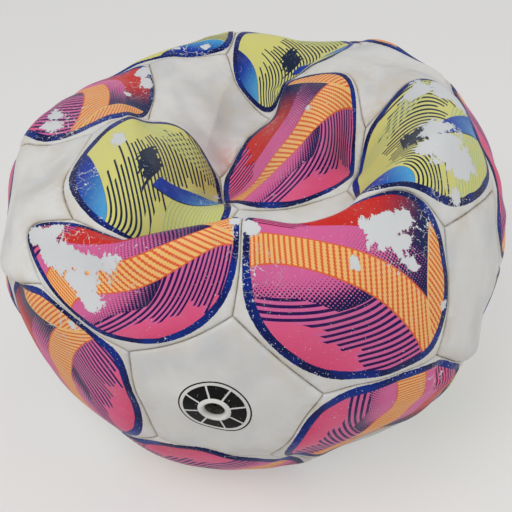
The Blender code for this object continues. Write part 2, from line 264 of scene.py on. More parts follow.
# Where the slack casing has settled, in millimetres from the round ball's centre.
SETTLED = {
    # the front rim, and the panel folded down behind it into a deep pocket
    "front_left": (-40, -96, 35),
    "front_right": (35, -99, 38),
    "4 front_left + pocket + lobe_left": (-37, -89, 48),
    "2 front_left + pocket": (-21, -92, 54),
    "pocket + front_left + front_right": (-4, -89, 56),
    "pocket + front_right + lobe_right": (33, -79, 55),
    "front_right + lobe_right": (54, -71, 56),
    "pocket": (8, -72, 24),
    "pocket + front_left + lobe_left": (-27, -72, 28),
    "pocket + lobe_middle": (12, -44, 34),
    "pocket + lobe_left + lobe_middle": (-7, -43, 31),
    "pocket + lobe_middle + lobe_right": (35, -41, 38),
    # three lobes that stand up behind the pocket, with a valley on each side of the middle one
    "lobe_left": (-39, -42, 45),
    "lobe_middle": (20, -17, 51),
    "lobe_right": (63, -43, 63),
    "lobe_left + lobe_middle": (-13, -24, 22),
    "lobe_middle + lobe_right": (40, -26, 37),
    "lobe_middle + rim_back": (12, 35, 45),
    "lobe_right + rim_right": (92, -15, 44),
    "basin + lobe_left": (-29, 6, 38),
    "basin + lobe_left + lobe_middle": (-15, -4, 23),
    "basin + lobe_middle": (-4, 13, 30),
    "basin + lobe_middle + rim_back": (5, 36, 32),
    "shelf + lobe_middle": (39, 21, 58),
    "shelf + lobe_middle + rim_back": (21, 32, 54),
    "shelf + lobe_middle + lobe_right": (45, -3, 46),
    "shelf + lobe_right": (66, 7, 62),
    # the shallow basin at the back left and the shelf at the back right
    "basin": (-26, 35, 38),
    "basin + rim_left": (-47, 39, 43),
    "basin + rim_back": (-7, 56, 37),
    "basin + rim_left + lobe_left": (-46, 15, 41),
    "basin + rim_left + rim_back_left": (-50, 61, 47),
    "basin + rim_back + rim_back_left": (-14, 71, 47),
    "shelf": (56, 33, 58),
    "shelf + lobe_right + rim_right": (85, 1, 54),
    "shelf + rim_right": (88, 20, 47),
    "shelf + rim_right + rim_back_right": (83, 37, 50),
    "shelf + rim_back + rim_back_right": (49, 68, 54),
    # the rim round the back and the sides
    "rim_back": (18, 64, 42),
    "rim_left": (-75, 38, 44),
    "rim_back_left": (-44, 79, 40),
    "rim_back_right": (67, 66, 35),
    "rim_right": (104, 5, 21),
    "rim_left + rim_back_left": (-66, 60, 40),
    "rim_right + rim_back_right": (91, 37, 33),
    "back + rim_back + rim_back_left": (-8, 96, 47),
    "back + rim_back + rim_back_right": (38, 91, 42),
    # the left and right sides, which have slumped outwards
    "left": (-96, -42, 27),
    "left + rim_left": (-88, -1, 39),
    "left + lobe_left": (-71, -40, 44),
    "left + lobe_left + rim_left": (-67, -9, 46),
    "left + front_left": (-85, -59, 30),
    "left + front_left + lobe_left": (-67, -68, 43),
    "left + front_left + lower_left": (-81, -74, 17),
    "left + side_left": (-103, -30, 8),
    "left + rim_left + side_left": (-101, 0, 33),
    "rim_left + side_left": (-105, 15, 22),
    "right": (89, -59, 5),
    "right + front_right + lobe_right": (69, -72, 41),
    "right + lobe_right + rim_right": (96, -28, 30),
    "right + front_right + lower_right": (68, -88, -6),
    "right + side_right": (93, -46, -18),
    "right + rim_right": (99, -30, 12),
    "right + rim_right + side_right": (103, -31, -7),
    # the lower front, drawn in a little below the bulging sides
    "lower_left": (-75, -75, -23),
    "lower_right": (48, -87, -41),
    "low_right + lower_right": (45, -66, -70),
    "chin + low_right + lower_right": (25, -71, -75),
    # the valve's panel
    "valve": (-15, -108, -14),
    "valve + front_left + front_right": (-8, -107, 27),
    "valve + front_left + lower_left": (-46, -100, 5),
}


@dataclass(frozen=True)
class Fold:
    """A line pressed into one panel of the slack casing.

    Attributes:
        panel: the panel that it is on.
        along: the places that it passes, in millimetres across and up from the panel's centre.
        height: how far it stands out in millimetres, and below zero for a valley.
        width: half the width of the line in millimetres.
        softness: 2 for a rounded line, towards 1 for a sharp one.
    """

    panel: str
    along: tuple[tuple[float, float], ...]
    height: float
    width: float
    softness: float = 2.0

    def path(self, radius: float) -> Array:
        """The directions that the line passes on a ball of a radius in millimetres."""
        return np.array([LAYOUT.on_panel(self.panel, *place, radius) for place in self.along])


FOLDS = (
    Fold("basin", ((-34.0, -8.0), (-24.5, 0.0), (-17.0, 2.0), (-3.0, 11.0), (13.0, 19.0),
                   (24.0, 25.0)), 1.3, 7.0, 1.05),
    Fold("basin", ((4.0, 34.0), (-6.0, 27.0), (-12.0, 32.0)), 0.9, 4.0, 1.3),
    Fold("left", ((-34.0, 4.0), (-23.0, 6.7), (-12.0, 14.0), (4.0, 27.0)), -1.3, 5.0, 1.3),
    Fold("left", ((-30.0, -8.0), (-8.0, 4.0), (10.0, 6.0)), 1.0, 9.0),
    Fold("shelf", ((-22.0, 26.0), (-6.0, 8.0), (10.0, -14.0)), -1.1, 6.0, 1.3),
    Fold("shelf", ((-24.0, 24.0), (-22.0, 2.0), (-12.0, -24.0)), 0.9, 6.0, 1.3),
    Fold("shelf", ((-14.0, 26.0), (10.0, 14.0), (26.0, 2.0)), 0.8, 6.0, 1.3),
    Fold("right", ((-30.0, 22.0), (-8.0, 16.0), (12.0, 20.0)), 1.1, 7.0, 1.4),
    Fold("right", ((-33.0, -3.0), (-20.0, -17.0), (-3.0, -31.0), (12.0, -24.0)), 2.0, 6.0),
    Fold("lower_right", ((12.0, 40.0), (27.0, 24.0), (41.0, 9.0)), -1.8, 4.0),
    Fold("left", ((-24.0, -14.0), (-1.0, -31.0), (18.0, -19.0), (31.0, -9.0)), 2.2, 6.0),
    Fold("lower_left", ((2.0, 44.0), (-20.0, 31.0), (-39.0, 17.0)), -1.8, 4.0),
    Fold("rim_right", ((-40.0, -4.0), (-20.0, -8.0), (4.0, -6.0)), 1.3, 7.0, 1.3),
    Fold("front_right", ((-36.0, 14.0), (-34.0, 0.0), (-37.0, -12.0)), -0.8, 4.0, 1.3),
    Fold("lobe_middle", ((-6.0, -34.0), (-16.0, -30.0), (-26.0, -26.0)), 1.0, 3.5, 1.2),
)

# The slackness between the folds: wavelengths and heights in millimetres, and how they are drawn.
WAVES = ((46.0, 0.30), (38.0, 0.26), (31.0, 0.22), (25.0, 0.16), (19.0, 0.10), (15.0, 0.07))
WAVE_COPIES = 3
WAVE_SEED = 19


@dataclass
class SlackCasing:
    """Moves points of the round ball to where the slack casing has settled.

    A smooth spline over the ball carries the displacements listed in SETTLED, and it holds every
    other centre and corner where it is on the round ball.

    Attributes:
        radius: the round ball's, in millimetres.
        ground: the ground's height from the round ball's centre.
        ground_rounding: how softly the casing meets the ground.
        ground_bite: what the ground presses flat.
        same_spot: how near to a listed place a centre or corner isn't held as well, in radians.
        probe: how far apart the points are that give a normal, in radians.
        fold_fade: how quickly a fold rises from its ends.
        swirl: how far the slackness is bent, as a part of the radius.
        swirls: how often it is bent, over one radian.
        spots: the directions of the places that carry the spline.
        weights: the spline's weights.
    """

    radius: float = 110.0
    ground: float = -87.0
    ground_rounding: float = 4.0
    ground_bite: float = 0.6
    same_spot: float = math.radians(4.0)
    probe: float = 0.004
    fold_fade: float = 5.0
    swirl: float = 0.08
    swirls: float = 4.0
    spots: Array = field(init=False, repr=False)
    weights: Array = field(init=False, repr=False)

    def __post_init__(self) -> None:
        """Solves for the spline's weights."""
        spots = [LAYOUT.spot(label) for label in SETTLED]
        listed = np.array(spots)
        moves = list(np.array(list(SETTLED.values()), float) - self.radius * listed)
        for landmark in LAYOUT.landmarks():
            if np.max(listed @ landmark) < math.cos(self.same_spot):
                spots.append(landmark)
                moves.append(np.zeros(3))
        self.spots = np.array(spots)
        count = len(spots)
        system = np.zeros((count + 4, count + 4))
        system[:count, :count] = self.kernel(self.spots)
        system[:count, count] = 1.0
        system[:count, count + 1:] = self.spots
        system[count:, :count] = system[:count, count:].T
        wanted = np.zeros((count + 4, 3))
        wanted[:count] = moves
        self.weights = np.linalg.solve(system, wanted)

    def kernel(self, directions: Array) -> Array:
        """The cube of the distance from each direction to each spot."""
        squared = np.maximum(2.0 - 2.0 * directions @ self.spots.T, 0.0)
        return squared * np.sqrt(squared)

    def surface(self, directions: Array) -> Array:
        """Points of the casing's smooth outer surface.

        Args:
            directions: unit vectors.

        Returns:
            A point for each, in millimetres above the ground.
        """
        count = len(self.spots)
        moved = self.kernel(directions) @ self.weights[:count]
        moved += self.weights[count] + directions @ self.weights[count + 1:]
        points = self.radius * directions + moved
        above = points[:, 2] - self.ground
        rounded = 0.5 * (above + np.sqrt(above ** 2 + self.ground_rounding ** 2))
        points[:, 2] = np.maximum(rounded - self.ground_bite, 0.0)
        return points

    def normals(self, directions: Array) -> Array:
        """Outward normals of the smooth outer surface.

        Args:
            directions: unit vectors.

        Returns:
            A unit vector for each.
        """
        away = np.where(np.abs(directions[:, 2:3]) < 0.9, [[0.0, 0.0, 1.0]], [[1.0, 0.0, 0.0]])
        first = unit(np.cross(away, directions))
        along, across = (
            self.surface(unit(directions + step)) - self.surface(unit(directions - step))
            for step in (self.probe * first, self.probe * np.cross(directions, first)))
        return unit(np.cross(along, across))

    def lifted(self, directions: Array, lift: Array) -> Array:
        """Points that stand out from the smooth surface, and not under the ground.

        Args:
            directions: unit vectors.
            lift: how far each stands out, in millimetres.

        Returns:
            A point for each, in millimetres.
        """
        points = self.surface(directions) + lift[:, None] * self.normals(directions)
        points[:, 2] = np.maximum(points[:, 2], 0.0)
        return points

    def line_distance(self, directions: Array, path: Array) -> tuple[Array, Array]:
        """How far each direction is from a line over the round ball.

        Args:
            directions: unit vectors.
            path: unit vectors that the line passes.

        Returns:
            The distance in millimetres, and how far along the line the nearest point is, 0 to 1.
        """
        nearest, place = np.full(len(directions), 1e9), np.zeros(len(directions))
        for number, (start, end) in enumerate(zip(path[:-1], path[1:])):
            way = end - start
            part = np.clip((directions - start) @ way / (way @ way), 0.0, 1.0)
            gap = self.radius * np.linalg.norm(directions - start - part[:, None] * way, axis=1)
            closer = gap < nearest
            nearest[closer] = gap[closer]
            place[closer] = (number + part[closer]) / (len(path) - 1)
        return nearest, place

    def relief(self, directions: Array) -> Array:
        """How far folds and slackness lift the surface.

        Args:
            directions: unit vectors.

        Returns:
            A lift for each, in millimetres.
        """
        lift = np.zeros(len(directions))
        for fold in FOLDS:
            gap, place = self.line_distance(directions, fold.path(self.radius))
            fade = np.clip(self.fold_fade * place * (1.0 - place), 0.0, 1.0)
            lift += fold.height * fade * np.exp(-(gap / fold.width) ** fold.softness)
        draws = np.random.default_rng(WAVE_SEED)
        for wavelength, height in WAVES:
            pitch = 2.0 * math.pi * self.radius / wavelength
            for _ in range(WAVE_COPIES):
                way = unit(draws.normal(size=3))
                phase = draws.uniform(0.0, 2.0 * math.pi)
                swirled = self.swirl * np.sin(self.swirls * directions[:, [1, 2, 0]] + phase)
                lift += height * np.sin(pitch * ((directions + swirled) @ way) + phase)
        return lift


# ------------------------------------------------------------------ shader building

Number = Union["Value", float, int]


class Value:
    """A number in a material. Arithmetic on it adds Math nodes."""

    def __init__(self, graph: "Graph", socket: bpy.types.NodeSocket) -> None:
        """Wraps an output socket of a graph's node."""
        self.graph = graph
        self.socket = socket

    def _maths(self, operation: str, *others: Number) -> "Value":
        """A Math node on this value and others."""
        return self.graph.maths(operation, self, *others)

    def __add__(self, other: Number) -> "Value":
        """self + other."""
        return self._maths("ADD", other)

    __radd__ = __add__

    def __mul__(self, other: Number) -> "Value":
        """self * other."""
        return self._maths("MULTIPLY", other)

    __rmul__ = __mul__

    def __sub__(self, other: Number) -> "Value":
        """self - other."""
        return self._maths("SUBTRACT", other)

    def __rsub__(self, other: Number) -> "Value":
        """other - self."""
        return self.graph.maths("SUBTRACT", other, self)

    def __truediv__(self, other: Number) -> "Value":
        """self / other."""
        return self._maths("DIVIDE", other)

    def __gt__(self, other: Number) -> "Value":
        """1 where self is greater, else 0."""
        return self._maths("GREATER_THAN", other)

    def __lt__(self, other: Number) -> "Value":
        """1 where self is less, else 0."""
        return self._maths("LESS_THAN", other)

    def __or__(self, other: Number) -> "Value":
        """The greater of two masks."""
        return self._maths("MAXIMUM", other)

    def __and__(self, other: Number) -> "Value":
        """The product of two masks."""
        return self._maths("MULTIPLY", other)

    def fraction(self) -> "Value":
        """What is left above the whole number."""
        return self._maths("FRACT")

    def whole(self) -> "Value":
        """The whole number below."""
        return self._maths("FLOOR")

    def root(self) -> "Value":
        """The square root."""
        return self._maths("SQRT")

    def wave(self) -> "Value":
        """The sine."""
        return self._maths("SINE")

    def size(self) -> "Value":
        """The absolute value."""
        return self._maths("ABSOLUTE")

    def rise(self, low: float, high: float) -> "Value":
        """A smooth step from 0 at low to 1 at high."""
        return self.graph.value("ShaderNodeMapRange", {"interpolation_type": "SMOOTHSTEP"}, {
            "Value": self, "From Min": low, "From Max": high})

    def within(self, low: Number, high: Number) -> "Value":
        """1 between two limits, else 0."""
        return (self > low) & (self < high)


Ink = Union[bpy.types.NodeSocket, Colour]
SHOWN_SHARE = 0.5  # how much of the floor's look is the colour that it is seen with


class Graph:
    """Builds the nodes of a material, or of the world."""

    def __init__(self, name: str, world: bpy.types.World | None = None) -> None:
        """Starts an empty material, or empties the world's nodes.

        Args:
            name: the new material's name.
            world: the world, where it is the world that is built.
        """
        self.holder = world or bpy.data.materials.new(name)
        self.holder.use_nodes = True
        self.tree = self.holder.node_tree
        self.tree.nodes.clear()

    def node(self, kind: str, settings: dict | None = None,
             inputs: dict | None = None) -> bpy.types.Node:
        """Adds a node.

        Args:
            kind: the node's type.
            settings: properties that are set first, and "stops" for a ramp's positions and colours.
            inputs: values or links of its sockets, by name or number.

        Returns:
            The node.
        """
        made = self.tree.nodes.new(kind)
        for key, value in (settings or {}).items():
            if key == "stops":
                ramp = made.color_ramp
                while len(ramp.elements) < len(value):
                    ramp.elements.new(0.5)
                for element, (position, colour) in zip(ramp.elements, value):
                    element.position = position
                    element.color = (*colour, 1.0)
            else:
                setattr(made, key, value)
        for key, value in (inputs or {}).items():
            socket = made.inputs[key]
            if isinstance(value, Value):
                value = value.socket
            if isinstance(value, bpy.types.NodeSocket):
                self.tree.links.new(value, socket)
            elif socket.type == "RGBA":
                socket.default_value = (*value, 1.0)
            else:
                socket.default_value = value
        return made

    def value(self, kind: str, settings: dict | None = None, inputs: dict | None = None,
              output: str | int = 0) -> Value:
        """Adds a node, as node() does, and wraps one of its outputs."""
        return Value(self, self.node(kind, settings, inputs).outputs[output])

    def maths(self, operation: str, *terms: Number) -> Value:
        """Adds a Math node."""
        return self.value("ShaderNodeMath", {"operation": operation}, dict(enumerate(terms)))

    def attribute(self, name: str) -> tuple[Value, Value, Value]:
        """Reads a mesh attribute.

        Args:
            name: the attribute.

        Returns:
            Its three numbers.
        """
        held = self.node("ShaderNodeAttribute", {"attribute_name": name})
        parts = self.node("ShaderNodeSeparateXYZ", {}, {"Vector": held.outputs["Vector"]})
        return tuple(Value(self, parts.outputs[axis]) for axis in range(3))

    def place(self, stretch: tuple[float, float, float] = (1.0, 1.0, 1.0)) -> bpy.types.NodeSocket:
        """Object coordinates, in metres.

        Args:
            stretch: how many times they are stretched along each axis.

        Returns:
            The coordinates.
        """
        own = self.node("ShaderNodeTexCoord").outputs["Object"]
        mapped = self.node("ShaderNodeMapping", {}, {"Vector": own, "Scale": stretch})
        return mapped.outputs["Vector"]

    def noise(self, grain_mm: float, detail: float = 2.0, roughness: float = 0.5,
              place: bpy.types.NodeSocket | None = None, distortion: float = 0.0,
              output: str = "Fac") -> Value:
        """Soft noise.

        Args:
            grain_mm: the size of its grains, in millimetres.
            detail: how many finer layers it has.
            roughness: how strong those are.
            place: the coordinates, or the object's own.
            distortion: how far it swirls.
            output: "Fac", or "Color" for three numbers.

        Returns:
            Numbers from 0 to 1.
        """
        return self.value("ShaderNodeTexNoise", {}, {
            "Vector": place or self.place(), "Scale": 1.0 / (grain_mm * MM), "Detail": detail,
            "Roughness": roughness, "Distortion": distortion}, output)

    def cells(self, grain_mm: float, place: bpy.types.NodeSocket) -> Value:
        """How far a place is from the edge of its cell, in cells of a size in millimetres."""
        return self.value("ShaderNodeTexVoronoi", {"feature": "DISTANCE_TO_EDGE"}, {
            "Vector": place, "Scale": 1.0 / (grain_mm * MM)})

    def draw(self, number: Value) -> Value:
        """A random number from 0 to 1 for each whole number."""
        return self.value("ShaderNodeTexWhiteNoise", {"noise_dimensions": "1D"}, {"W": number})

    def blend(self, under: Ink, over: Ink, factor: Number) -> bpy.types.NodeSocket:
        """Mixes two colours: under at factor 0, over at 1."""
        return self.node("ShaderNodeMix", {"data_type": "RGBA"}, {
            0: factor, 6: under, 7: over}).outputs[2]

    def ramp(self, factor: Number, *stops: tuple[float, Colour]) -> bpy.types.NodeSocket:
        """A colour that changes along a number, from stop to stop."""
        return self.node("ShaderNodeValToRGB", {"stops": stops}, {"Fac": factor}).outputs["Color"]

    def finish(self, colour: Ink, roughness: Number, height_mm: Value | None = None,
               steady: dict | None = None, shown: Colour | None = None) -> bpy.types.Material:
        """Closes the material with a Principled shader.

        Args:
            colour: the base colour.
            roughness: the roughness.
            height_mm: what a bump lifts, in millimetres.
            steady: other sockets, which are the same all over.
            shown: for the studio's floor, a colour that it is seen with and doesn't light with.

        Returns:
            The material.
        """
        inputs = {"Base Color": colour, "Roughness": roughness, **(steady or {})}
        if height_mm is not None:
            inputs["Normal"] = self.node("ShaderNodeBump", {}, {
                "Strength": 1.0, "Distance": MM, "Height": height_mm}).outputs["Normal"]
        surface = self.node("ShaderNodeBsdfPrincipled", {}, inputs).outputs["BSDF"]
        if shown is not None:
            pale = self.node("ShaderNodeEmission", {}, {"Color": shown}).outputs["Emission"]
            surface = self.node("ShaderNodeMixShader", {}, {
                0: self.seen() * SHOWN_SHARE, 1: surface, 2: pale}).outputs["Shader"]
        self.node("ShaderNodeOutputMaterial", {}, {"Surface": surface})
        return self.holder

    def seen(self) -> Value:
        """Tells what is seen from what lights.

        Returns:
            1 for what is seen straight, in a reflection or through glass, and 0 for what lights.
        """
        rays = self.node("ShaderNodeLightPath").outputs
        straight, mirrored, through = (
            Value(self, rays[f"Is {kind} Ray"]) for kind in ("Camera", "Glossy", "Transmission"))
        return straight | mirrored | through


# ------------------------------------------------------------------ finishes

WHITE = srgb(216, 215, 212)
GREY = srgb(193, 194, 195)
CREAM = srgb(205, 198, 186)
BLUSH = srgb(196, 136, 126)
BARE = srgb(206, 209, 212)
SOOT = srgb(128, 112, 92)
NAVY = srgb(12, 20, 72)
BLUE = srgb(18, 56, 156)
SKY = srgb(74, 152, 204)
TEAL = srgb(14, 30, 56)
PLUM = srgb(40, 16, 78)
MAGENTA = srgb(208, 98, 150)
PINK = srgb(220, 90, 132)
DEEP_PINK = srgb(208, 62, 100)
ORANGE = srgb(216, 98, 56)
AMBER = srgb(234, 184, 112)
RED = srgb(196, 44, 38)
LIME = srgb(210, 206, 122)
PALE_GREEN = srgb(182, 194, 130)
BLACK = srgb(7, 7, 8)


@dataclass(frozen=True)
class Leather:
    """The coated synthetic leather that every panel is cut from: grain, dirt and wear.

    A name ending in _mm is the size of a noise's grains. A fade is where a noise or a distance
    begins to show and where it shows fully. A share is how much of a colour lies over the last.
    """

    grain_mm: float = 0.5
    grain_height: float = 0.05
    creases_mm: float = 7.0
    creases_height: float = 0.18
    clouds_mm: float = 28.0
    clouds_fade: tuple[float, float] = (0.40, 0.72)
    clouds_share: float = 0.8
    blotches_mm: float = 9.0
    blotches_fade: tuple[float, float] = (0.36, 0.66)
    stain_reach: float = 8.0
    stain_at_seam: float = 0.65
    stain_in_patch: float = 0.9
    stain_everywhere: float = 0.18
    dye_fade: tuple[float, float] = (0.1, 0.8)
    dye_blotches: tuple[float, float] = (0.2, 0.55)
    dye_share: float = 0.65
    specks_mm: float = 0.9
    specks_fade: tuple[float, float] = (0.70, 0.78)
    specks_clouds: tuple[float, float] = (0.50, 0.66)
    groove_fade: tuple[float, float] = (0.15, 0.6)
    groove_blotches: tuple[float, float] = (0.2, 0.7)
    soot_share: float = 0.35
    dulled_mm: float = 6.0
    smoothest: float = 0.36
    dulled_by: float = 0.20
    gloss: float = 0.10

    def white(self, graph: Graph) -> bpy.types.NodeSocket:
        """White leather with grey clouds, cream stains near the seams and dirt in them.

        Args:
            graph: the material's nodes.

        Returns:
            The colour.
        """
        seam, _, _ = graph.attribute("edge")
        soil, _, pink_dye = graph.attribute("wear")
        clouds = graph.noise(self.clouds_mm, 3.0, 0.55)
        blotches = graph.noise(self.blotches_mm, 4.0, 0.6, distortion=0.4)
        near = 1.0 - seam.rise(0.0, self.stain_reach)
        stain = near * self.stain_at_seam + soil * self.stain_in_patch + self.stain_everywhere
        shade = graph.blend(WHITE, GREY, clouds.rise(*self.clouds_fade) * self.clouds_share)
        shade = graph.blend(shade, CREAM, stain * blotches.rise(*self.blotches_fade))
        dye = pink_dye.rise(*self.dye_fade) * blotches.rise(*self.dye_blotches)
        shade = graph.blend(shade, BLUSH, dye * self.dye_share)
        specks = graph.noise(self.specks_mm, 2.0).rise(*self.specks_fade)
        dirty = specks & clouds.rise(*self.specks_clouds)
        shade = graph.blend(shade, SOOT, dirty * self.soot_share)
        groove = (1.0 - seam.rise(*self.groove_fade)) * blotches.rise(*self.groove_blotches)
        return graph.blend(shade, SOOT, groove * self.soot_share)

    def height(self, graph: Graph) -> Value:
        """Fine grain and shallow creases, in millimetres."""
        creases = (graph.noise(self.creases_mm, 3.0, 0.6, distortion=1.2) - 0.5).size()
        return graph.noise(self.grain_mm, 1.0) * self.grain_height - creases * self.creases_height

    def roughness(self, graph: Graph) -> Value:
        """Satin, duller where it is rubbed."""
        return self.smoothest + graph.noise(self.dulled_mm, 3.0, 0.6) * self.dulled_by

    def close(self, graph: Graph, colour: Ink, height: Value,
              roughness: Value) -> bpy.types.Material:
        """Closes the material with the leather's gloss."""
        return graph.finish(colour, roughness, height, {"Specular IOR Level": self.gloss})


@dataclass(frozen=True)
class Stripes:
    """Printed stripes.

    Attributes:
        pitch: from one to the next, in millimetres.
        duty: the share of the pitch that is printed.
        spread: by how much they end unevenly, in millimetres.
    """

    pitch: float
    duty: float = 0.5
    spread: float = 0.0


@dataclass(frozen=True)
class PrintedLeather(Leather):
    """Leather with a printed field inside a navy border, flaked to white where it is worn.

    The prints are drawn with three families of arcs. fan, roll and ring are the distances in
    millimetres from their middles, and every belt of a print is a range of such distances.
    """

    name: str = "printed_leather"
    margin: float = 0.5
    ragged_edge: float = 0.7
    border: float = 2.9
    tide_mm: float = 16.0
    tide_fade: tuple[float, float] = (0.44, 0.66)
    border_wander: float = 2.4
    border_blue: float = 0.55
    border_wear: tuple[float, float] = (1.9, 4.4)
    arc_middles: tuple[tuple[float, float], ...] = ((-48.0, 16.0), (16.0, -60.0), (62.0, 40.0))
    tooth_turns: float = 6.0
    tooth_reach: float = 0.14
    rubbed_mm: float = 11.0
    rubbed_fade: tuple[float, float] = (0.45, 0.9)
    rubbed_share: float = 0.07
    bare_share: float = 0.7
    print_height: float = 0.06
    print_smoother: float = 0.06
    chips_mm: float = 1.7
    flakes_mm: float = 7.5
    flakes_chipped: float = 0.4
    web_mm: float = 4.2
    web_wander_mm: tuple[float, float] = (2.4, 3.4)
    web_patches_mm: float = 4.5
    web_patches_fade: tuple[float, float] = (0.42, 0.56)
    web_from: float = 0.42
    web_width: float = 0.30
    hairs_mm: float = 17.0
    hair_width: float = 0.0022
    hair_breaks_mm: float = 5.0
    pinholes_mm: float = 0.62
    pinhole_level: float = 0.76
    bite_level: float = 0.745

    def arcs(self, across: Value, up: Value) -> list[Value]:
        """Distances in millimetres from the middles of the print's three families of arcs."""
        away = [(across - middle[0], up - middle[1]) for middle in self.arc_middles]
        return [(sideways * sideways + upward * upward).root() for sideways, upward in away]

    def hatch(self, along: Value, stripes: Stripes) -> Value:
        """Stripes that follow each other in one way."""
        return (along / stripes.pitch).fraction() < stripes.duty

    def toothed(self, along: Value, beside: Value, stripes: Stripes) -> Value:
        """Stripes whose edges have small teeth, which repeat in the other way."""
        teeth = (beside * self.tooth_turns).wave() * self.tooth_reach
        return self.hatch(along + teeth, stripes)

    def stepped(self, limit: Value, along: Value, stripes: Stripes) -> Value:
        """A distance that jumps from stripe to stripe, for ragged ends."""
        return limit + limit.graph.draw((along / stripes.pitch).whole()) * stripes.spread

    def dots(self, across: Value, up: Value, pitch: float, amount: Value) -> Value:
        """A screen of dots.

        Args:
            across: the place on the print, in millimetres.
            up: the same.
            pitch: from dot to dot.
            amount: how large the dots are, from 0 to 1.

        Returns:
            1 on a dot.
        """
        turn = math.pi / pitch
        screen = ((across + up) * turn).wave() * ((across - up) * turn).wave()
        return (screen * 0.5 + 0.5) < amount

    def art(self, graph: Graph, across: Value, up: Value) -> bpy.types.NodeSocket:
        """The coloured field, which each print draws for itself."""
        raise NotImplementedError

    def material(self) -> bpy.types.Material:
        """Lays the print on the leather.

        Returns:
            The finished material.
        """
        graph = Graph(self.name)
        across, up, _ = graph.attribute("art")
        _, inset, worn = graph.attribute("edge")
        _, cracked, _ = graph.attribute("wear")
        white = self.white(graph)
        inside = inset - self.margin
        rubbed = graph.noise(self.rubbed_mm, 4.0, 0.65).rise(*self.rubbed_fade)
        faded = graph.blend(self.art(graph, across, up), WHITE, rubbed * self.rubbed_share)
        tide = graph.noise(self.tide_mm, 2.0)
        border_ink = graph.blend(NAVY, BLUE, tide.rise(*self.tide_fade) * self.border_blue)
        past_border = inside > self.border + (tide - 0.5) * self.border_wander
        chips = graph.noise(self.chips_mm, 4.0, 0.68)
        ragged = graph.noise(self.flakes_mm, 5.0, 0.68) - 0.5 + (chips - 0.5) * self.flakes_chipped
        lost = (worn + ragged > 0.5) | self.cracks(graph, cracked, inside, chips)
        kept = (inside > (chips - 0.5) * self.ragged_edge) & (1.0 - lost)
        bare = graph.blend(white, BARE, lost * self.bare_share)
        colour = graph.blend(bare, graph.blend(border_ink, faded, past_border), kept)
        return self.close(graph, colour, self.height(graph) + kept * self.print_height,
                          self.roughness(graph) - kept * self.print_smoother)

    def cracks(self, graph: Graph, cracked: Value, inside: Value, chips: Value) -> Value:
        """Where the print is lost in webs of cracks, hairlines, pinholes and bites.

        Args:
            graph: the material's nodes.
            cracked: how cracked the panel is there, from 0.
            inside: how far inside the field's edge the place is, in millimetres.
            chips: the noise that breaks the print's edges.

        Returns:
            1 where the print is gone.
        """
        at_border = 1.0 - inside.rise(*self.border_wear)
        web = graph.cells(self.web_mm, self.wandering(graph, *self.web_wander_mm))
        patchy = graph.noise(self.web_patches_mm, 3.0, 0.6).rise(*self.web_patches_fade)
        web_width = (cracked - self.web_from) * self.web_width * (chips - 0.25) * patchy
        hair = (graph.noise(self.hairs_mm, 2.0, 0.5, distortion=1.5) - 0.5).size()
        broken = (graph.noise(self.hair_breaks_mm, 3.0, 0.6) > 0.58) & (chips > 0.46)
        pinholes = graph.noise(self.pinholes_mm, 1.0) + at_border * 0.035 + cracked * 0.05
        bites = chips + at_border * 0.06 + cracked * 0.07
        lines = (web < web_width) | ((hair < self.hair_width) & broken)
        return lines | (pinholes > self.pinhole_level) | (bites > self.bite_level)

    def wandering(self, graph: Graph, grain_mm: float, reach_mm: float) -> bpy.types.NodeSocket:
        """Object coordinates pushed about by noise, so that cells lose their straight sides.

        Args:
            graph: the material's nodes.
            grain_mm: the size of the noise's grains.
            reach_mm: how far it pushes.

        Returns:
            The coordinates.
        """
        drift = graph.noise(grain_mm, output="Color").socket
        centred = graph.node("ShaderNodeVectorMath", {"operation": "SUBTRACT"}, {
            0: drift, 1: (0.5, 0.5, 0.5)}).outputs["Vector"]
        return graph.node("ShaderNodeVectorMath", {"operation": "MULTIPLY_ADD"}, {
            0: centred, 1: (reach_mm * MM,) * 3, 2: graph.place()}).outputs["Vector"]


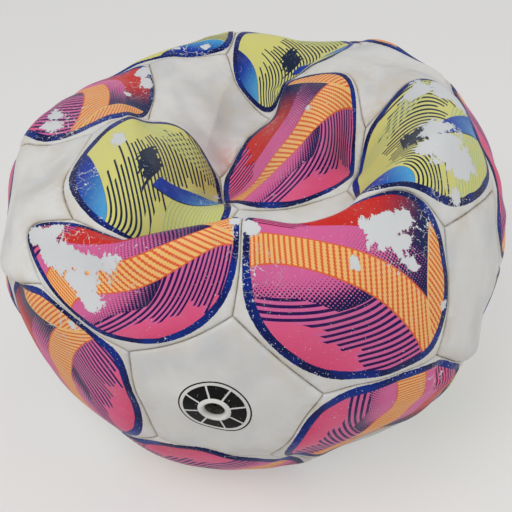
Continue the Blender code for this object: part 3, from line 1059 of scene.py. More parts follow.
@dataclass(frozen=True)
class PinkPrint(PrintedLeather):
    """Rolling arcs in pink, magenta, orange and red over navy."""

    name: str = "pink_print"
    pink_fade: tuple[float, float] = (18.0, 40.0)
    lines: Stripes = Stripes(2.2, 0.52, spread=9.0)
    line_belt: tuple[float, float] = (42.0, 66.0)
    screen_pitch: float = 1.1
    screen_fade: tuple[float, float] = (60.0, 44.0)
    screen_belt: tuple[float, float] = (48.0, 62.0)
    screen_fan: tuple[float, float] = (36.0, 58.0)
    amber: Stripes = Stripes(1.9, 0.58)
    amber_belt: tuple[float, float] = (59.0, 71.0)
    amber_from: float = 22.0
    amber_rim: float = 0.6
    glow_pitch: float = 1.0
    glow_fade: tuple[float, float] = (34.0, 74.0)
    cap_from: float = 82.0
    cap_fade: tuple[float, float] = (40.0, 62.0)
    shade: Stripes = Stripes(2.0, 0.55, spread=6.0)
    shade_to: float = 26.0
    blade: Stripes = Stripes(1.8, 0.55)
    blade_ring: tuple[float, float] = (34.0, 47.0)
    blade_from: float = 46.0

    def art(self, graph: Graph, across: Value, up: Value) -> bpy.types.NodeSocket:
        """Pink below, hatched belts, screened navy, two amber bands and a red cap.

        Args:
            graph: the material's nodes.
            across: the place on the print, in millimetres.
            up: the same.

        Returns:
            The colour.
        """
        fan, roll, ring = self.arcs(across, up)
        rim = self.amber_rim
        (amber_low, amber_high), (blade_low, blade_high) = self.amber_belt, self.blade_ring
        ink = graph.blend(DEEP_PINK, PINK, roll.rise(*self.pink_fade))
        lines = graph.blend(PLUM, MAGENTA, self.hatch(fan, self.lines))
        lined = self.stepped(roll, fan, self.lines).within(*self.line_belt)
        ink = graph.blend(ink, lines, lined)
        dots = self.dots(across, up, self.screen_pitch, fan.rise(*self.screen_fade))
        screened = roll.within(*self.screen_belt) & fan.within(*self.screen_fan)
        ink = graph.blend(ink, graph.blend(NAVY, MAGENTA, dots), screened)
        edge = roll.within(amber_low - rim, amber_high + rim) & (fan > self.amber_from - rim)
        ink = graph.blend(ink, ORANGE, edge)
        amber = graph.blend(ORANGE, AMBER, self.toothed(ring, fan, self.amber))
        ink = graph.blend(ink, amber, roll.within(*self.amber_belt) & (fan > self.amber_from))
        dots = self.dots(across, up, self.glow_pitch, fan.rise(*self.glow_fade))
        glowing = roll.within(amber_high + rim, self.cap_from)
        ink = graph.blend(ink, graph.blend(MAGENTA, NAVY, dots), glowing)
        cap = graph.blend(RED, NAVY, fan.rise(*self.cap_fade))
        ink = graph.blend(ink, cap, roll > self.cap_from)
        shade = graph.blend(PLUM, PINK, self.hatch(roll, self.shade))
        ink = graph.blend(ink, shade, self.stepped(fan, roll, self.shade) < self.shade_to)
        edge = ring.within(blade_low - rim, blade_high + rim) & (roll > self.blade_from - rim)
        ink = graph.blend(ink, AMBER, edge)
        blade = graph.blend(ORANGE, AMBER, self.toothed(roll, ring, self.blade))
        return graph.blend(ink, blade, ring.within(*self.blade_ring) & (roll > self.blade_from))


@dataclass(frozen=True)
class LimePrint(PrintedLeather):
    """Rolling arcs in yellow-green and sky blue with dark hatching."""

    name: str = "lime_print"
    green: Stripes = Stripes(1.7)
    green_from: float = 62.0
    green_to: float = 50.0
    lines: Stripes = Stripes(2.1, 0.45, spread=10.0)
    line_belt: tuple[float, float] = (58.0, 84.0)
    bristle_mm: float = 1.0
    bristle_stretch: tuple[float, float, float] = (1.0, 1.0, 0.25)
    brush_fade: tuple[float, float] = (66.0, 46.0)
    brush_fill: float = 1.4
    block: Stripes = Stripes(0.8, spread=6.0)
    block_belt: tuple[float, float] = (62.0, 74.0)
    block_fan: tuple[float, float] = (48.0, 60.0)
    comb: Stripes = Stripes(2.0, spread=7.0)
    comb_to: float = 36.0
    pale: Stripes = Stripes(1.6)
    pale_share: float = 0.8
    pale_ring: tuple[float, float] = (42.0, 52.0)
    pale_from: float = 50.0
    wedge_from: float = 54.0
    wedge_slope: float = 0.3
    wedge_to: float = 78.0
    wedge_rim: float = 0.7
    wedge_end: float = 60.0
    wedge_fade: tuple[float, float] = (28.0, 54.0)
    sky_to: float = 26.0
    sky_fade: tuple[float, float] = (50.0, 104.0)

    def art(self, graph: Graph, across: Value, up: Value) -> bpy.types.NodeSocket:
        """Yellow-green with a tinted belt, dark hatched belts, a blue end and a blue wedge.

        Args:
            graph: the material's nodes.
            across: the place on the print, in millimetres.
            up: the same.

        Returns:
            The colour.
        """
        fan, roll, ring = self.arcs(across, up)
        green = (roll < self.green_to) & (ring > self.green_from)
        ink = graph.blend(LIME, PALE_GREEN, self.toothed(roll, fan, self.green) & green)
        lined = self.stepped(roll, fan, self.lines).within(*self.line_belt)
        ink = graph.blend(ink, TEAL, self.hatch(fan, self.lines) & lined)
        bristles = graph.noise(self.bristle_mm, 2.0, place=graph.place(self.bristle_stretch))
        brush = bristles < fan.rise(*self.brush_fade) * self.brush_fill
        block = self.stepped(fan, roll, self.block).within(*self.block_fan)
        ink = graph.blend(ink, TEAL, roll.within(*self.block_belt) & block & brush)
        combed = self.stepped(ring, roll, self.comb) < self.comb_to
        ink = graph.blend(ink, TEAL, self.hatch(roll, self.comb) & combed)
        pale = ring.within(*self.pale_ring) & (roll > self.pale_from)
        tint = graph.blend(LIME, PALE_GREEN, self.pale_share)
        ink = graph.blend(ink, tint, self.toothed(ring, roll, self.pale) & pale)
        wedge = ring.within(roll * self.wedge_slope + self.wedge_from, self.wedge_to)
        wedge_ink = graph.blend(SKY, BLUE, roll.rise(*self.wedge_fade))
        ink = graph.blend(ink, wedge_ink, wedge & (roll < self.wedge_end))
        edge = ring.within(self.wedge_to, self.wedge_to + self.wedge_rim)
        ink = graph.blend(ink, TEAL, edge & (roll < self.wedge_end))
        sky = graph.ramp(
            roll.rise(*self.sky_fade), (0.0, SKY), (0.45, SKY), (0.75, BLUE), (1.0, NAVY))
        return graph.blend(ink, sky, fan < self.sky_to)


@dataclass(frozen=True)
class PlainLeather(Leather):
    """The white panels."""

    name: str = "white_leather"

    def material(self) -> bpy.types.Material:
        """The finished material."""
        graph = Graph(self.name)
        return self.close(graph, self.white(graph), self.height(graph), self.roughness(graph))


@dataclass(frozen=True)
class ValveLeather(Leather):
    """The white panel round the valve, with a black ring of segments and a thin circle."""

    name: str = "valve_leather"
    segments: int = 8
    turned: float = 0.7
    ring: tuple[float, float] = (6.1, 11.7)
    circle: tuple[float, float] = (12.9, 13.5)
    spoke: float = 0.36
    worn_mm: float = 1.1
    worn_above: float = 0.70

    def material(self) -> bpy.types.Material:
        """Prints the ring and the circle on the leather.

        Returns:
            The finished material.
        """
        graph = Graph(self.name)
        across, up, _ = graph.attribute("art")
        reach = (across * across + up * up).root()
        turn = graph.maths("ARCTAN2", up, across) * (self.segments / (2.0 * math.pi)) + self.turned
        off_middle = (turn.fraction() - 0.5).size() * reach * (2.0 * math.pi / self.segments)
        segment = off_middle < reach * (math.pi / self.segments) - self.spoke
        left = graph.noise(self.worn_mm, 3.0, 0.6) < self.worn_above
        inked = ((reach.within(*self.ring) & segment) | reach.within(*self.circle)) & left
        colour = graph.blend(self.white(graph), BLACK, inked)
        return self.close(graph, colour, self.height(graph), self.roughness(graph))


@dataclass(frozen=True)
class Rubber:
    """Matt, dusty rubber."""

    name: str
    colour: Colour
    dust: Colour = srgb(150, 140, 126)
    dust_mm: float = 2.4
    dust_fade: tuple[float, float] = (0.45, 0.75)
    dusty: float = 0.4
    smoothest: float = 0.55
    dulled_by: float = 0.3
    grain_mm: float = 0.7
    grain_height: float = 0.05
    gloss: float = 0.2

    def material(self) -> bpy.types.Material:
        """Lays the dust on the rubber.

        Returns:
            The finished material.
        """
        graph = Graph(self.name)
        dust = graph.noise(self.dust_mm, 4.0, 0.65).rise(*self.dust_fade) * self.dusty
        colour = graph.blend(self.colour, self.dust, dust)
        height = graph.noise(self.grain_mm, 3.0) * self.grain_height
        return graph.finish(colour, self.smoothest + dust * self.dulled_by, height, {
            "Specular IOR Level": self.gloss})


VALVE_RUBBER = Rubber("valve_rubber", srgb(26, 22, 20), dusty=0.2)
BLADDER_LATEX = Rubber("bladder_latex", srgb(52, 52, 54), dusty=0.25)


@dataclass(frozen=True)
class WaxedThread:
    """Twisted polyester thread, yellowed by wax and dirt."""

    name: str = "waxed_thread"
    wax: Colour = srgb(190, 178, 156)
    dirt: Colour = srgb(92, 82, 68)
    dirt_mm: float = 4.0
    dirt_fade: tuple[float, float] = (0.35, 0.7)
    twist_mm: float = 0.5
    twist_stretch: tuple[float, float, float] = (1.0, 1.0, 3.0)
    twist_height: float = 0.08
    smoothest: float = 0.7
    dulled_by: float = 0.1

    def material(self) -> bpy.types.Material:
        """Soils and twists the thread.

        Returns:
            The finished material.
        """
        graph = Graph(self.name)
        dirt = graph.noise(self.dirt_mm, 3.0).rise(*self.dirt_fade)
        twist = graph.noise(self.twist_mm, 1.0, place=graph.place(self.twist_stretch))
        return graph.finish(graph.blend(self.wax, self.dirt, dirt),
                            self.smoothest + twist * self.dulled_by, twist * self.twist_height)


# ------------------------------------------------------------------ panels

class Print(Enum):
    """What a panel is printed with. The value is its material slot, but RING shares NONE's."""

    NONE = "white_panels"
    RING = "valve"
    PINK = "pink_panels"
    LIME = "lime_panels"

    @property
    def slot(self) -> str:
        """The material slot."""
        return "white_panels" if self is Print.RING else self.value


LIME_PANELS = {"lobe_left", "lobe_right", "rim_back", "rim_back_left", "side_right", "base_left"}


class Wear(Enum):
    """What has happened to a place on a panel."""

    FLAKED = "print gone"
    CRACKED = "print cracked"
    SOILED = "cream dirt"
    STAINED = "pink dye"


# How each print is turned on its panel, in degrees. The others are turned by their number.
TURNS = {"front_left": 12.0, "front_right": -45.0, "lobe_left": 120.0, "lobe_middle": -90.0,
         "lobe_right": 12.0, "rim_back": -130.0, "rim_back_left": -75.0, "rim_left": 20.0,
         "lower_left": 60.0, "lower_right": -120.0, "rim_right": -150.0, "chin": 180.0}

# Where the panels are worn. Each patch has its middle to the right of the panel's centre and above
# it, and its radius, in millimetres.
PATCHES: dict[str, dict[Wear, tuple[tuple[float, float, float], ...]]] = {
    "front_left": {
        Wear.FLAKED: ((-31.0, 1.0, 7.0), (-26.0, -4.0, 7.0), (-32.0, 10.5, 4.0), (-20.0, 0.5, 7.5),
            (-13.5, 2.5, 6.0), (-8.0, 8.0, 3.5), (-16.5, -8.5, 6.5), (-12.5, -15.5, 5.0),
            (-13.0, -21.5, 3.5), (35.0, 15.0, 3.2)),
        Wear.CRACKED: ((-26.0, 14.0, 12.0), (35.0, 8.0, 10.0), (-4.0, -2.0, 7.0))},
    "front_right": {
        Wear.FLAKED: ((15.0, 15.0, 7.5), (11.0, 18.0, 4.5), (20.5, 16.5, 5.0), (19.0, 9.0, 4.5),
            (21.0, 1.8, 2.4), (-0.3, 4.2, 2.0), (33.7, -13.7, 1.4), (-31.0, 20.0, 4.0)),
        Wear.CRACKED: ((28.0, 13.0, 11.0), (15.0, 2.2, 6.0), (-35.0, 5.0, 11.0))},
    "lobe_right": {
        Wear.FLAKED: ((-4.0, -13.0, 11.0), (-4.0, -23.0, 7.0), (4.0, -3.0, 7.0), (-10.0, -5.0, 6.0),
            (29.0, 12.0, 6.0), (31.5, 2.0, 6.0), (33.5, -5.0, 4.5), (-17.0, -31.0, 3.2)),
        Wear.CRACKED: ((-20.0, -28.0, 12.0), (-38.0, 8.0, 9.0))},
    "lobe_left": {
        Wear.FLAKED: ((-16.6, -21.0, 4.2), (-5.0, 36.0, 1.8), (12.0, 36.0, 2.2)),
        Wear.CRACKED: ((0.9, -31.0, 8.0), (4.0, 33.0, 13.0))},
    "lobe_middle": {Wear.FLAKED: ((10.4, -5.7, 2.0),), Wear.CRACKED: ((28.0, 8.0, 9.0),)},
    "rim_left": {
        Wear.FLAKED: ((25.0, -4.0, 4.5), (31.0, -3.0, 4.0), (-28.0, 24.0, 5.0), (-21.0, 28.0, 3.5),
            (-4.0, 22.0, 2.2)),
        Wear.CRACKED: ((30.0, 4.0, 14.0), (-14.0, 26.0, 10.0))},
    "rim_back_left": {
        Wear.FLAKED: ((9.0, 28.0, 3.0), (-4.0, 34.0, 2.4)),
        Wear.CRACKED: ((4.0, 30.0, 14.0),)},
    "lower_left": {Wear.CRACKED: ((6.0, 28.0, 12.0),), Wear.FLAKED: ((12.0, 32.0, 2.0),)},
    "lower_right": {Wear.CRACKED: ((16.0, 30.0, 10.0),)},
    "basin": {Wear.STAINED: ((5.0, 31.0, 6.5),), Wear.SOILED: ((-14.0, 12.0, 11.0),)},
    "shelf": {Wear.SOILED: ((-12.0, 18.0, 10.0),)},
    "left": {Wear.SOILED: ((-4.0, 22.0, 10.0),)},
    "rim_right": {
        Wear.FLAKED: ((16.0, 14.0, 5.5), (22.0, 8.0, 3.5)),
        Wear.CRACKED: ((14.0, 12.0, 13.0),)},
    "side_right": {
        Wear.FLAKED: ((-8.0, -12.0, 4.5), (-2.0, -17.0, 3.0)),
        Wear.CRACKED: ((-6.0, -10.0, 14.0),)},
    "rim_back_right": {
        Wear.FLAKED: ((18.0, 14.0, 6.0), (24.0, 7.0, 4.5), (9.0, 20.0, 3.0)),
        Wear.CRACKED: ((16.0, 12.0, 14.0),)},
    "side_left": {
        Wear.FLAKED: ((-14.0, 16.0, 6.0), (-21.0, 10.0, 4.5), (-9.0, 9.0, 3.0)),
        Wear.CRACKED: ((-14.0, 12.0, 14.0),)},
    "low_back_left": {
        Wear.FLAKED: ((10.0, -14.0, 5.0), (17.0, -10.0, 3.0)),
        Wear.CRACKED: ((8.0, -14.0, 14.0),)},
    "low_back_right": {
        Wear.FLAKED: ((-22.0, 10.0, 5.5), (-15.0, 16.0, 3.5)),
        Wear.CRACKED: ((-16.0, 10.0, 14.0),)},
    "base_left": {Wear.CRACKED: ((0.0, 20.0, 12.0),)},
    "base_right": {Wear.FLAKED: ((6.0, 26.0, 3.5),), Wear.CRACKED: ((0.0, 20.0, 12.0),)},
    "back": {Wear.SOILED: ((4.0, -10.0, 14.0),)},
    "back_left": {Wear.SOILED: ((-8.0, -6.0, 12.0),)},
    "back_right": {Wear.SOILED: ((10.0, -4.0, 12.0),)},
}


@dataclass
class Panel:
    """One sewn panel: a closed sheet of leather with rounded edges that turn into the seams.

    Attributes:
        name: the panel's name.
        casing: what gives it its shape.
        rings: how many rings of faces lie inside the turned edge.
        seam_gap: what the seam leaves open between two panels, in millimetres.
        thickness: the leather's, in millimetres.
        inner_clearance: what the inner skin stays below that, so that none of the solid shows.
        groove: how deep the edge turns down into the seam, groove_width over what width, and
            groove_softness how roundly.
        valley: how deep the wide dip along a seam is, and valley_width over what width.
        inner_places: where the inner skin's rings are, from 1 at the seam to 0 at the centre.
        edge_steps: where the turned edge's rings are, in millimetres from the seam.
        rounding: how large the printed field's rounded corners are, in millimetres.
        rounding_rise: how much larger they are for each millimetre up the panel.
        turn_step: by how much one print is turned against the next, in degrees.
        patch_softness: how softly a worn patch ends, in millimetres.
    """

    name: str
    casing: SlackCasing
    rings: int = 40
    seam_gap: float = 0.36
    thickness: float = 2.4
    inner_clearance: float = 0.4
    groove: float = 0.9
    groove_width: float = 0.7
    groove_softness: float = 1.5
    valley: float = 0.4
    valley_width: float = 3.5
    inner_places: tuple[float, ...] = (0.94, 0.8, 0.62, 0.44, 0.26, 0.1)
    edge_steps: tuple[float, ...] = (5.0, 4.1, 3.3, 2.6, 2.0, 1.5, 1.1, 0.8, 0.55)
    rounding: float = 6.0
    rounding_rise: float = -0.07
    turn_step: float = 137.0
    patch_softness: float = 3.0

    @property
    def centre(self) -> Array:
        """The panel's centre on the round ball."""
        return LAYOUT.centres[self.name]

    @property
    def node(self) -> str:
        """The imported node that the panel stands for."""
        return ("hexagon_" if self.name in HEXAGONS else "pentagon_") + self.name

    @property
    def kind(self) -> Print:
        """What the panel is printed with.

        Returns:
            One of the two coloured prints, the valve's ring, or none.
        """
        if self.name in HEXAGONS:
            return Print.LIME if self.name in LIME_PANELS else Print.PINK
        return Print.RING if self.name == "valve" else Print.NONE

    def apothem(self) -> float:
        """The distance over the ball from the centre to the middle of a seam."""
        one, two = LAYOUT.sides(self.name)[0]
        return self.casing.radius * math.acos(self.centre @ unit(one + two))

    def places(self, first: float = 0.0) -> Array:
        """How far out each ring lies, denser at the edge.

        Args:
            first: how far out the innermost ring is.

        Returns:
            From 0 at the centre to 1 at the seam.
        """
        reach = self.apothem()
        steps = 1.0 - np.array(self.edge_steps + (0.5 * self.seam_gap,)) / reach
        return np.concatenate([np.linspace(first, steps[0], self.rings, endpoint=False), steps])

    def fan(self) -> tuple[Array, list[tuple[int, ...]], int]:
        """The outer skin as a fan of rings, where ring k has k points along each side.

        Returns:
            Directions of the points, the faces, and how many points the outermost ring has.
        """
        outline, places = LAYOUT.sides(self.name), self.places()
        sides = len(outline)
        points = [self.centre]
        for ring in range(1, len(places)):
            part = (np.arange(ring) / ring)[:, None]
            for one, two in outline:
                points.extend(between(self.centre, between(one, two, part), places[ring]))

        def number(ring: int, place: int) -> int:
            """The number of a ring's point."""
            return 0 if ring == 0 else 1 + sides * ring * (ring - 1) // 2 + place % (sides * ring)

        faces = []
        for ring in range(1, len(places)):
            for side, step in itertools.product(range(sides), range(ring)):
                inner = side * (ring - 1) + step
                low, high = number(ring - 1, inner), number(ring, side * ring + step + 1)
                faces.append((low, number(ring, side * ring + step), high))
                if step < ring - 1:
                    faces.append((low, high, number(ring - 1, inner + 1)))
        return unit(np.array(points)), faces, sides * (len(places) - 1)

    def bands(self, rings: int, around: int, start: int) -> list[tuple[int, ...]]:
        """Faces between rings that have the same number of points.

        Args:
            rings: how many rings.
            around: how many points each has.
            start: the first ring's first point.

        Returns:
            The faces.
        """
        faces = []
        for ring, place in itertools.product(range(rings - 1), range(around)):
            first = start + ring * around
            here, beside = first + place, first + (place + 1) % around
            faces.append((here, here + around, beside + around, beside))
        return faces

    def seam_distances(self, directions: Array) -> tuple[Array, Array]:
        """How far places on the panel are from its seams.

        Args:
            directions: unit vectors.

        Returns:
            Millimetres to the nearest seam, and the same with the panel's corners rounded.
        """
        apart = np.array([
            self.casing.radius * np.arcsin(directions @ unit(np.cross(one, two)))
            for one, two in LAYOUT.sides(self.name)])
        upward = self.casing.radius * directions @ LAYOUT.axes(self.name)[1]
        softness = self.rounding + self.rounding_rise * upward
        rounded = -softness * np.log(np.exp(-apart / softness).sum(axis=0))
        return np.maximum(apart.min(axis=0), 0.0), rounded

    def flat_places(self, directions: Array) -> Array:
        """Where directions are on the panel laid flat.

        Args:
            directions: unit vectors.

        Returns:
            Millimetres across and up from its centre, for each.
        """
        across, up = LAYOUT.axes(self.name)
        sideways, upward = directions @ across, directions @ up
        spread = np.maximum(np.hypot(sideways, upward), 1e-9)
        angle = np.arctan2(spread, directions @ self.centre)
        return self.casing.radius * (angle / spread)[:, None] * np.stack([sideways, upward], axis=1)

    def edge_drop(self, seam: Array) -> Array:
        """How far the edge has turned down at each distance from a seam, in millimetres."""
        groove = self.groove * np.exp(-(seam / self.groove_width) ** self.groove_softness)
        return groove + self.valley * np.exp(-(seam / self.valley_width) ** 2)

    def outer_points(self, directions: Array) -> Array:
        """Points of the outer skin.

        Args:
            directions: unit vectors.

        Returns:
            A point for each, in millimetres.
        """
        seam, _ = self.seam_distances(directions)
        lift = self.casing.relief(directions) - self.edge_drop(seam)
        return self.casing.lifted(directions, lift)

    def inner_points(self, directions: Array) -> Array:
        """Points of the inner skin, in millimetres."""
        depth = self.thickness + self.inner_clearance
        return self.casing.lifted(directions, self.casing.relief(directions) - depth)

    def shell(self) -> tuple[Array, list[tuple[int, ...]], Array]:
        """The closed sheet.

        Returns:
            Points in millimetres, faces, and the direction of each point on the round ball.
        """
        directions, faces, around = self.fan()
        rim = directions[-around:]
        inner = [unit(between(self.centre, rim, place)) for place in (1.0,) + self.inner_places]
        start = len(directions) - around
        faces += self.bands(len(inner) + 1, around, start)
        last = start + len(inner) * around
        faces += [(last + place, last + around, last + (place + 1) % around)
                  for place in range(around)]
        inside = np.concatenate(inner + [self.centre[None]])
        points = np.concatenate([self.outer_points(directions), self.inner_points(inside)])
        return points, faces, np.concatenate([directions, inside])

    def attributes(self, mesh: bpy.types.Mesh, directions: Array) -> None:
        """Stores where each point is on the print, near the edge and in the wear.

        Args:
            mesh: the panel's mesh.
            directions: the direction of each of its points.
        """
        flat = self.flat_places(directions)
        number = list(LAYOUT.centres).index(self.name)
        turn = math.radians(TURNS.get(self.name, self.turn_step * number))
        art = flat @ np.array([[math.cos(turn), -math.sin(turn)], [math.sin(turn), math.cos(turn)]])
        seam, inset = self.seam_distances(directions)
        worn = {wear: np.zeros(len(flat)) for wear in Wear}
        for wear, patches in PATCHES.get(self.name, {}).items():
            for across, up, radius in patches:
                away = np.hypot(flat[:, 0] - across, flat[:, 1] - up)
                amount = 0.5 + 0.5 * (radius - away) / (radius + self.patch_softness)
                worn[wear] = np.maximum(worn[wear], np.clip(amount, 0.0, 1.0))
        kept = {"art": (art[:, 0], art[:, 1], np.zeros(len(art))),
                "edge": (seam, inset, worn[Wear.FLAKED]),
                "wear": (worn[Wear.SOILED], worn[Wear.CRACKED], worn[Wear.STAINED])}
        for name, columns in kept.items():
            made = mesh.attributes.new(name, "FLOAT_VECTOR", "POINT")
            made.data.foreach_set("vector", np.stack(columns, axis=1).astype(np.float32).ravel())

    def build(self, finishes: dict[Print, bpy.types.Material]) -> bpy.types.Object:
        """Makes the panel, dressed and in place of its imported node.

        Args:
            finishes: each print's material.

        Returns:
            The piece.
        """
        points, faces, directions = self.shell()
        made = new_piece(f"{self.name}_panel", points, faces, finishes[self.kind])
        self.attributes(made.data, directions)
        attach(made, BODY)
        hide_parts(self.node)
        return made


@dataclass
class ValvePanel(Panel):
    """The panel with the valve's hole, whose rim is a low rounded lip.

    Attributes:
        hole: the hole's radius, in millimetres.
        lip_radius: the radius at which the lip is highest, in millimetres.
        lip_width: how wide its slopes are, in millimetres.
        lip_height: how high it is, in millimetres.
        lip_rings: how many rings of faces it has.
        lip_reach: how far past its top they go, in millimetres.
        first_step: from the last of them to the next ring, as a share of the panel.
        squaring: how quickly the rings change from circles to the outline, less being quicker.
        steps: how many faces a ring has along each side.
    """

    hole: float = 4.0
    lip_radius: float = 5.0
    lip_width: float = 0.9
    lip_height: float = 1.1
    lip_rings: int = 12
    lip_reach: float = 2.5
    first_step: float = 0.02
    squaring: float = 0.5
    steps: int = 36

    def shell(self) -> tuple[Array, list[tuple[int, ...]], Array]:
        """The closed sheet, from rings that change from a circle to the outline.

        Returns:
            Points in millimetres, faces, and the direction of each point on the round ball.
        """
        outline, reach = LAYOUT.sides(self.name), self.apothem()
        near_hole = np.linspace(self.hole, self.lip_radius + self.lip_reach, self.lip_rings) / reach
        places = np.concatenate([near_hole, self.places(first=near_hole[-1] + self.first_step)])
        angular = reach / self.casing.radius
        part = (np.arange(self.steps) / self.steps)[:, None]
        rings = []
        for place in places:
            squareness = ((place - places[0]) / (places[-1] - places[0])) ** self.squaring
            for one, two in outline:
                on_side = between(one, two, part)
                round_way = unit(on_side - (on_side @ self.centre)[:, None] * self.centre)
                circle = self.centre + math.tan(place * angular) * round_way
                square = between(self.centre, on_side, place)
                rings.append(between(unit(circle), unit(square), squareness))
        outer = unit(np.concatenate(rings))
        around = len(outline) * self.steps
        rim, hole = outer[-around:], outer[:around]
        blends = (1.0,) + self.inner_places + (0.0,)
        inside = np.concatenate([unit(between(hole, rim, place)) for place in blends])
        faces = self.bands(len(places) + len(blends), around, 0)
        last = (len(places) + len(blends) - 1) * around
        faces += [(last + place, place, (place + 1) % around, last + (place + 1) % around)
                  for place in range(around)]
        points = np.concatenate([self.outer_points(outer), self.inner_points(inside)])
        return points, faces, np.concatenate([outer, inside])

    def outer_points(self, directions: Array) -> Array:
        """Points of the outer skin, with the lip round the hole.

        Args:
            directions: unit vectors.

        Returns:
            A point for each, in millimetres.
        """
        points = super().outer_points(directions)
        away = self.casing.radius * np.arccos(np.clip(directions @ self.centre, -1.0, 1.0))
        lip = self.lip_height * np.exp(-((away - self.lip_radius) / self.lip_width) ** 2)
        return points + lip[:, None] * self.casing.normals(directions)


def new_piece(name: str, points: Array, faces: list[tuple[int, ...]], finish: bpy.types.Material,
              smooth: bool = True) -> bpy.types.Object:
    """Makes an object from points in millimetres.

    Args:
        name: the piece's name.
        points: one row for each point.
        faces: point numbers of each face.
        finish: its material.
        smooth: whether it is shaded smooth.

    Returns:
        The object.
    """
    mesh = bpy.data.meshes.new(name)
    mesh.from_pydata((points * MM).tolist(), [], faces)
    mesh.materials.append(finish)
    mesh.polygons.foreach_set("use_smooth", [smooth] * len(mesh.polygons))
    mesh.update()
    made = bpy.data.objects.new(name, mesh)
    bpy.context.scene.collection.objects.link(made)
    return made


# ------------------------------------------------------------------ seams and valve

@dataclass
class SeamThread:
    """The waxed thread: a run along the bottom of every seam, and short stitches across it.

    Attributes:
        depth: how far below the casing's surface the run lies, in millimetres.
        radius: the run's radius, in millimetres.
        stitch_pitch: from stitch to stitch, in millimetres.
        stitch_length: how far a stitch reaches across the seam, in millimetres.
        stitch_radius: a stitch's radius, in millimetres.
        stitch_slant: how far its ends lean along the seam, in radians.
        stitch_rises: how far its ends and its middle lie above the run, in millimetres.
        steps: how many places of a seam the run passes.
        sides: how many flat sides a tube has.
    """

    casing: SlackCasing
    depth: float = 1.7
    radius: float = 0.36
    stitch_pitch: float = 3.4
    stitch_length: float = 1.1
    stitch_radius: float = 0.22
    stitch_slant: float = 0.006
    stitch_rises: tuple[float, float, float] = (0.1, 0.45, 0.1)
    steps: int = 26
    sides: int = 6

    def tube(self, path: Array, lifts: Array, radius: float) -> tuple[Array, list[tuple[int, ...]]]:
        """A closed tube along a path.

        Args:
            path: points in millimetres.
            lifts: a direction at each point that the tube's profile starts from.
            radius: the tube's radius.

        Returns:
            Points and faces.
        """
        ways = unit(np.gradient(path, axis=0))
        beside = unit(np.cross(ways, lifts))
        upward = np.cross(beside, ways)
        count, sides = len(path), self.sides
        turns = 2.0 * math.pi * np.arange(sides)[None, :, None] / sides
        profile = np.cos(turns) * beside[:, None] + np.sin(turns) * upward[:, None]
        points = (path[:, None] + radius * profile).reshape(-1, 3)
        faces = [(ring * sides + side, (ring + 1) * sides + side,
                  (ring + 1) * sides + (side + 1) % sides, ring * sides + (side + 1) % sides)
                 for ring in range(count - 1) for side in range(sides)]
        faces.append(tuple(range(sides)))
        faces.append(tuple(range((count - 1) * sides, count * sides))[::-1])
        return points, faces

    def seam(self, one: Array, two: Array) -> list[tuple[Array, list[tuple[int, ...]]]]:
        """The run along one seam and the stitches across it.

        Args:
            one: the direction of the seam's first end on the round ball.
            two: the direction of its other end.

        Returns:
            Points and faces of each tube.
        """
        part = np.linspace(0.0, 1.0, self.steps)[:, None]
        line = unit(between(one, two, part))
        normals = self.casing.normals(line)
        lift = self.casing.relief(line) - self.depth
        path = self.casing.surface(line) + lift[:, None] * normals
        tubes = [self.tube(path, normals, self.radius)]
        length = np.linalg.norm(np.diff(path, axis=0), axis=1).sum()
        stitches = max(2, round(length / self.stitch_pitch))
        reach = (0.5 * self.stitch_length / self.casing.radius * unit(np.cross(two, one))
                 + self.stitch_slant * unit(two - one))
        for stitch in range(1, stitches):
            at = stitch / stitches
            middle = unit(between(one, two, at))
            ends = unit(np.array([middle - reach, middle, middle + reach]))
            tops = self.casing.normals(ends)
            rise = self.casing.relief(ends) - self.depth + np.array(self.stitch_rises)
            path = self.casing.surface(ends) + rise[:, None] * tops
            tubes.append(self.tube(path, tops, self.stitch_radius))
        return tubes

    def build(self, finish: bpy.types.Material) -> bpy.types.Object:
        """Makes all the thread as one piece.

        Args:
            finish: its material.

        Returns:
            The piece.
        """
        all_points, all_faces, count = [], [], 0
        for one, two in LAYOUT.seams():
            for points, faces in self.seam(one, two):
                all_points.append(points)
                all_faces += [tuple(corner + count for corner in face) for face in faces]
                count += len(points)
        made = new_piece("seam_thread", np.concatenate(all_points), all_faces, finish)
        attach(made, BODY)
        return made


@dataclass
class NeedleValve:
    """The rubber valve in its hole: a dished face with a raised eye, a flange and a tail.

    Attributes:
        profile: its outline to turn round the axis, as radii and heights in millimetres.
    """

    casing: SlackCasing
    steps: int = 64
    profile: tuple[tuple[float, float], ...] = (
        (3.8, -3.3), (3.8, -1.5), (3.7, -1.15), (3.4, -1.0), (3.0, -1.15), (2.6, -1.75),
        (2.2, -2.25), (1.8, -2.35), (1.5, -2.2), (1.2, -2.0), (0.85, -2.05), (0.65, -2.5),
        (0.6, -4.5), (0.6, -17.7), (3.4, -17.7), (3.4, -4.2), (9.0, -4.2), (9.0, -3.3))

    def build(self, finish: bpy.types.Material) -> bpy.types.Object:
        """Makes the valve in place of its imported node.

        Args:
            finish: its material.

        Returns:
            The piece.
        """
        centre = LAYOUT.centres["valve"][None]
        origin, axis = self.casing.surface(centre)[0], self.casing.normals(centre)[0]
        side = unit(np.cross(axis, [0.0, 0.0, 1.0]))
        up = np.cross(side, axis)
        turns = 2.0 * math.pi * np.arange(self.steps)[:, None] / self.steps
        round_way = np.cos(turns) * side + np.sin(turns) * up
        points = np.concatenate([
            origin + height * axis + radius * round_way for radius, height in self.profile])
        rings, faces = len(self.profile), []
        for ring in range(rings):
            following = (ring + 1) % rings
            for step in range(self.steps):
                beside = (step + 1) % self.steps
                faces.append((ring * self.steps + step, following * self.steps + step,
                              following * self.steps + beside, ring * self.steps + beside))
        made = new_piece("needle_valve", points, faces, finish)
        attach(made, BODY)
        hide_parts("valve_plug")
        return made


# ------------------------------------------------------------------ studio

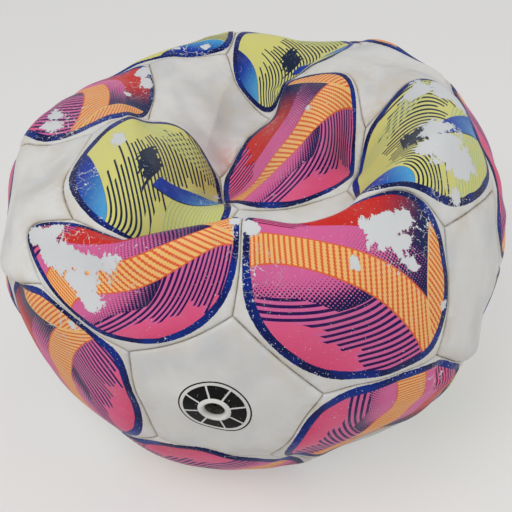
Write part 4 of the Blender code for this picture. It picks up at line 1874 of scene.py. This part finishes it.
@dataclass(frozen=True)
class Lamp:
    """A soft round lamp aimed at the ball.

    Attributes:
        name: its name.
        azimuth: the angle from -Y towards +X that it stands at, in degrees.
        elevation: the angle above level, in degrees.
        away: how far from the ball it is, in metres.
        size: how wide it is, in metres.
        power: its power, in watts.
    """

    name: str
    azimuth: float
    elevation: float
    away: float
    size: float
    power: float


@dataclass
class Studio:
    """A plain pale floor, soft lamps and the camera. Lengths are in metres, angles in degrees."""

    camera_elevation: float = 32.0
    camera_distance: float = 0.440
    camera_lens: float = 70.1
    camera_near: float = 0.01
    sensor_width: float = 36.0
    aim_below: float = 2.3
    ball_middle: tuple[float, float, float] = (0.0, 0.0, 0.087)
    floor_half: float = 30.0
    floor_clearance: float = 0.0003
    floor_colour: Colour = srgb(232, 231, 229)
    floor_shade: Colour = srgb(228, 227, 225)
    floor_clouds_mm: float = 400.0
    floor_roughness: float = 0.9
    sky: tuple[float, float, float] = (0.97, 0.98, 1.0)
    sky_strength: float = 0.40
    lamps: tuple[Lamp, ...] = (
        Lamp("key", -36.0, 50.0, 0.9, 0.6, 4.2),
        Lamp("fill", 75.0, 18.0, 1.0, 0.7, 2.6),
        Lamp("back", 170.0, 50.0, 1.0, 0.8, 0.8))

    def floor(self) -> bpy.types.Object:
        """A wide floor that shows pale to the camera and takes the ball's shadow.

        Returns:
            The floor.
        """
        half = self.floor_half / MM
        corners = np.array([[-half, -half, 0.0], [half, -half, 0.0],
                            [half, half, 0.0], [-half, half, 0.0]])
        graph = Graph("pale_floor")
        clouds = graph.noise(self.floor_clouds_mm, 2.0)
        tone = graph.blend(self.floor_colour, self.floor_shade, clouds)
        finish = graph.finish(tone, self.floor_roughness, shown=self.floor_colour)
        made = new_piece("floor", corners, [(0, 1, 2, 3)], finish, smooth=False)
        made.location.z = -self.floor_clearance
        return made

    def aimed(self, made: bpy.types.Object, way: Array, away: float, aim: Array) -> None:
        """Stands a lamp or the camera off the ball and turns it.

        Args:
            made: the lamp or the camera.
            way: the direction from the ball's middle that it stands in.
            away: how far off it stands.
            aim: the direction that its back is turned to.
        """
        made.location = Vector(self.ball_middle) + away * Vector(way.tolist())
        made.rotation_euler = Vector(aim.tolist()).to_track_quat("Z", "Y").to_euler()
        bpy.context.scene.collection.objects.link(made)

    def light(self, lamp: Lamp) -> None:
        """Hangs a lamp.

        Args:
            lamp: the lamp.
        """
        data = bpy.data.lights.new(lamp.name, "AREA")
        data.shape, data.size, data.energy = "DISK", lamp.size, lamp.power
        way = direction(lamp.azimuth, lamp.elevation)
        self.aimed(bpy.data.objects.new(lamp.name, data), way, lamp.away, way)

    def world(self) -> None:
        """An even pale surrounding, which is white to the eye and in reflections."""
        world = bpy.context.scene.world or bpy.data.worlds.new("studio")
        bpy.context.scene.world = world
        graph = Graph("studio", world)
        strength = graph.seen() * (1.0 - self.sky_strength) + self.sky_strength
        back = graph.node("ShaderNodeBackground", {}, {"Color": self.sky, "Strength": strength})
        graph.node("ShaderNodeOutputWorld", {}, {"Surface": back.outputs["Background"]})

    def camera(self) -> bpy.types.Object:
        """The camera, level across and aimed a little below the ball's middle.

        Returns:
            The camera.
        """
        data = bpy.data.cameras.new("camera")
        data.lens, data.sensor_width = self.camera_lens, self.sensor_width
        data.clip_start = self.camera_near
        made = bpy.data.objects.new("camera", data)
        self.aimed(made, direction(0.0, self.camera_elevation), self.camera_distance,
                   direction(0.0, self.camera_elevation + self.aim_below))
        bpy.context.scene.camera = made
        return made

    def build(self) -> None:
        """Sets up everything that isn't the ball."""
        self.floor()
        self.camera()
        for lamp in self.lamps:
            self.light(lamp)
        self.world()
        bpy.context.scene.view_settings.view_transform = "Standard"


def main() -> None:
    """Builds the ball and its studio."""
    logging.basicConfig(level=logging.INFO, format="%(name)s: %(message)s")
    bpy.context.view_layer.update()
    casing = SlackCasing()
    finishes = {Print.NONE: PlainLeather().material(), Print.RING: ValveLeather().material(),
                Print.PINK: PinkPrint().material(), Print.LIME: LimePrint().material()}
    for name in LAYOUT.centres:
        plan = ValvePanel if name == "valve" else Panel
        made = plan(name, casing).build(finishes)
        LOG.info("sewed %s: %d points", made.name, len(made.data.vertices))
    thread = SeamThread(casing).build(WaxedThread().material())
    LOG.info("ran %s: %d points", thread.name, len(thread.data.vertices))
    valve = NeedleValve(casing).build(VALVE_RUBBER.material())
    LOG.info("set %s", valve.name)
    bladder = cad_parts["bladder"]
    bladder.data.materials[0] = BLADDER_LATEX.material()
    LOG.info("dressed %s", bladder.name)
    Studio().build()


if __name__ == "__main__":
    main()
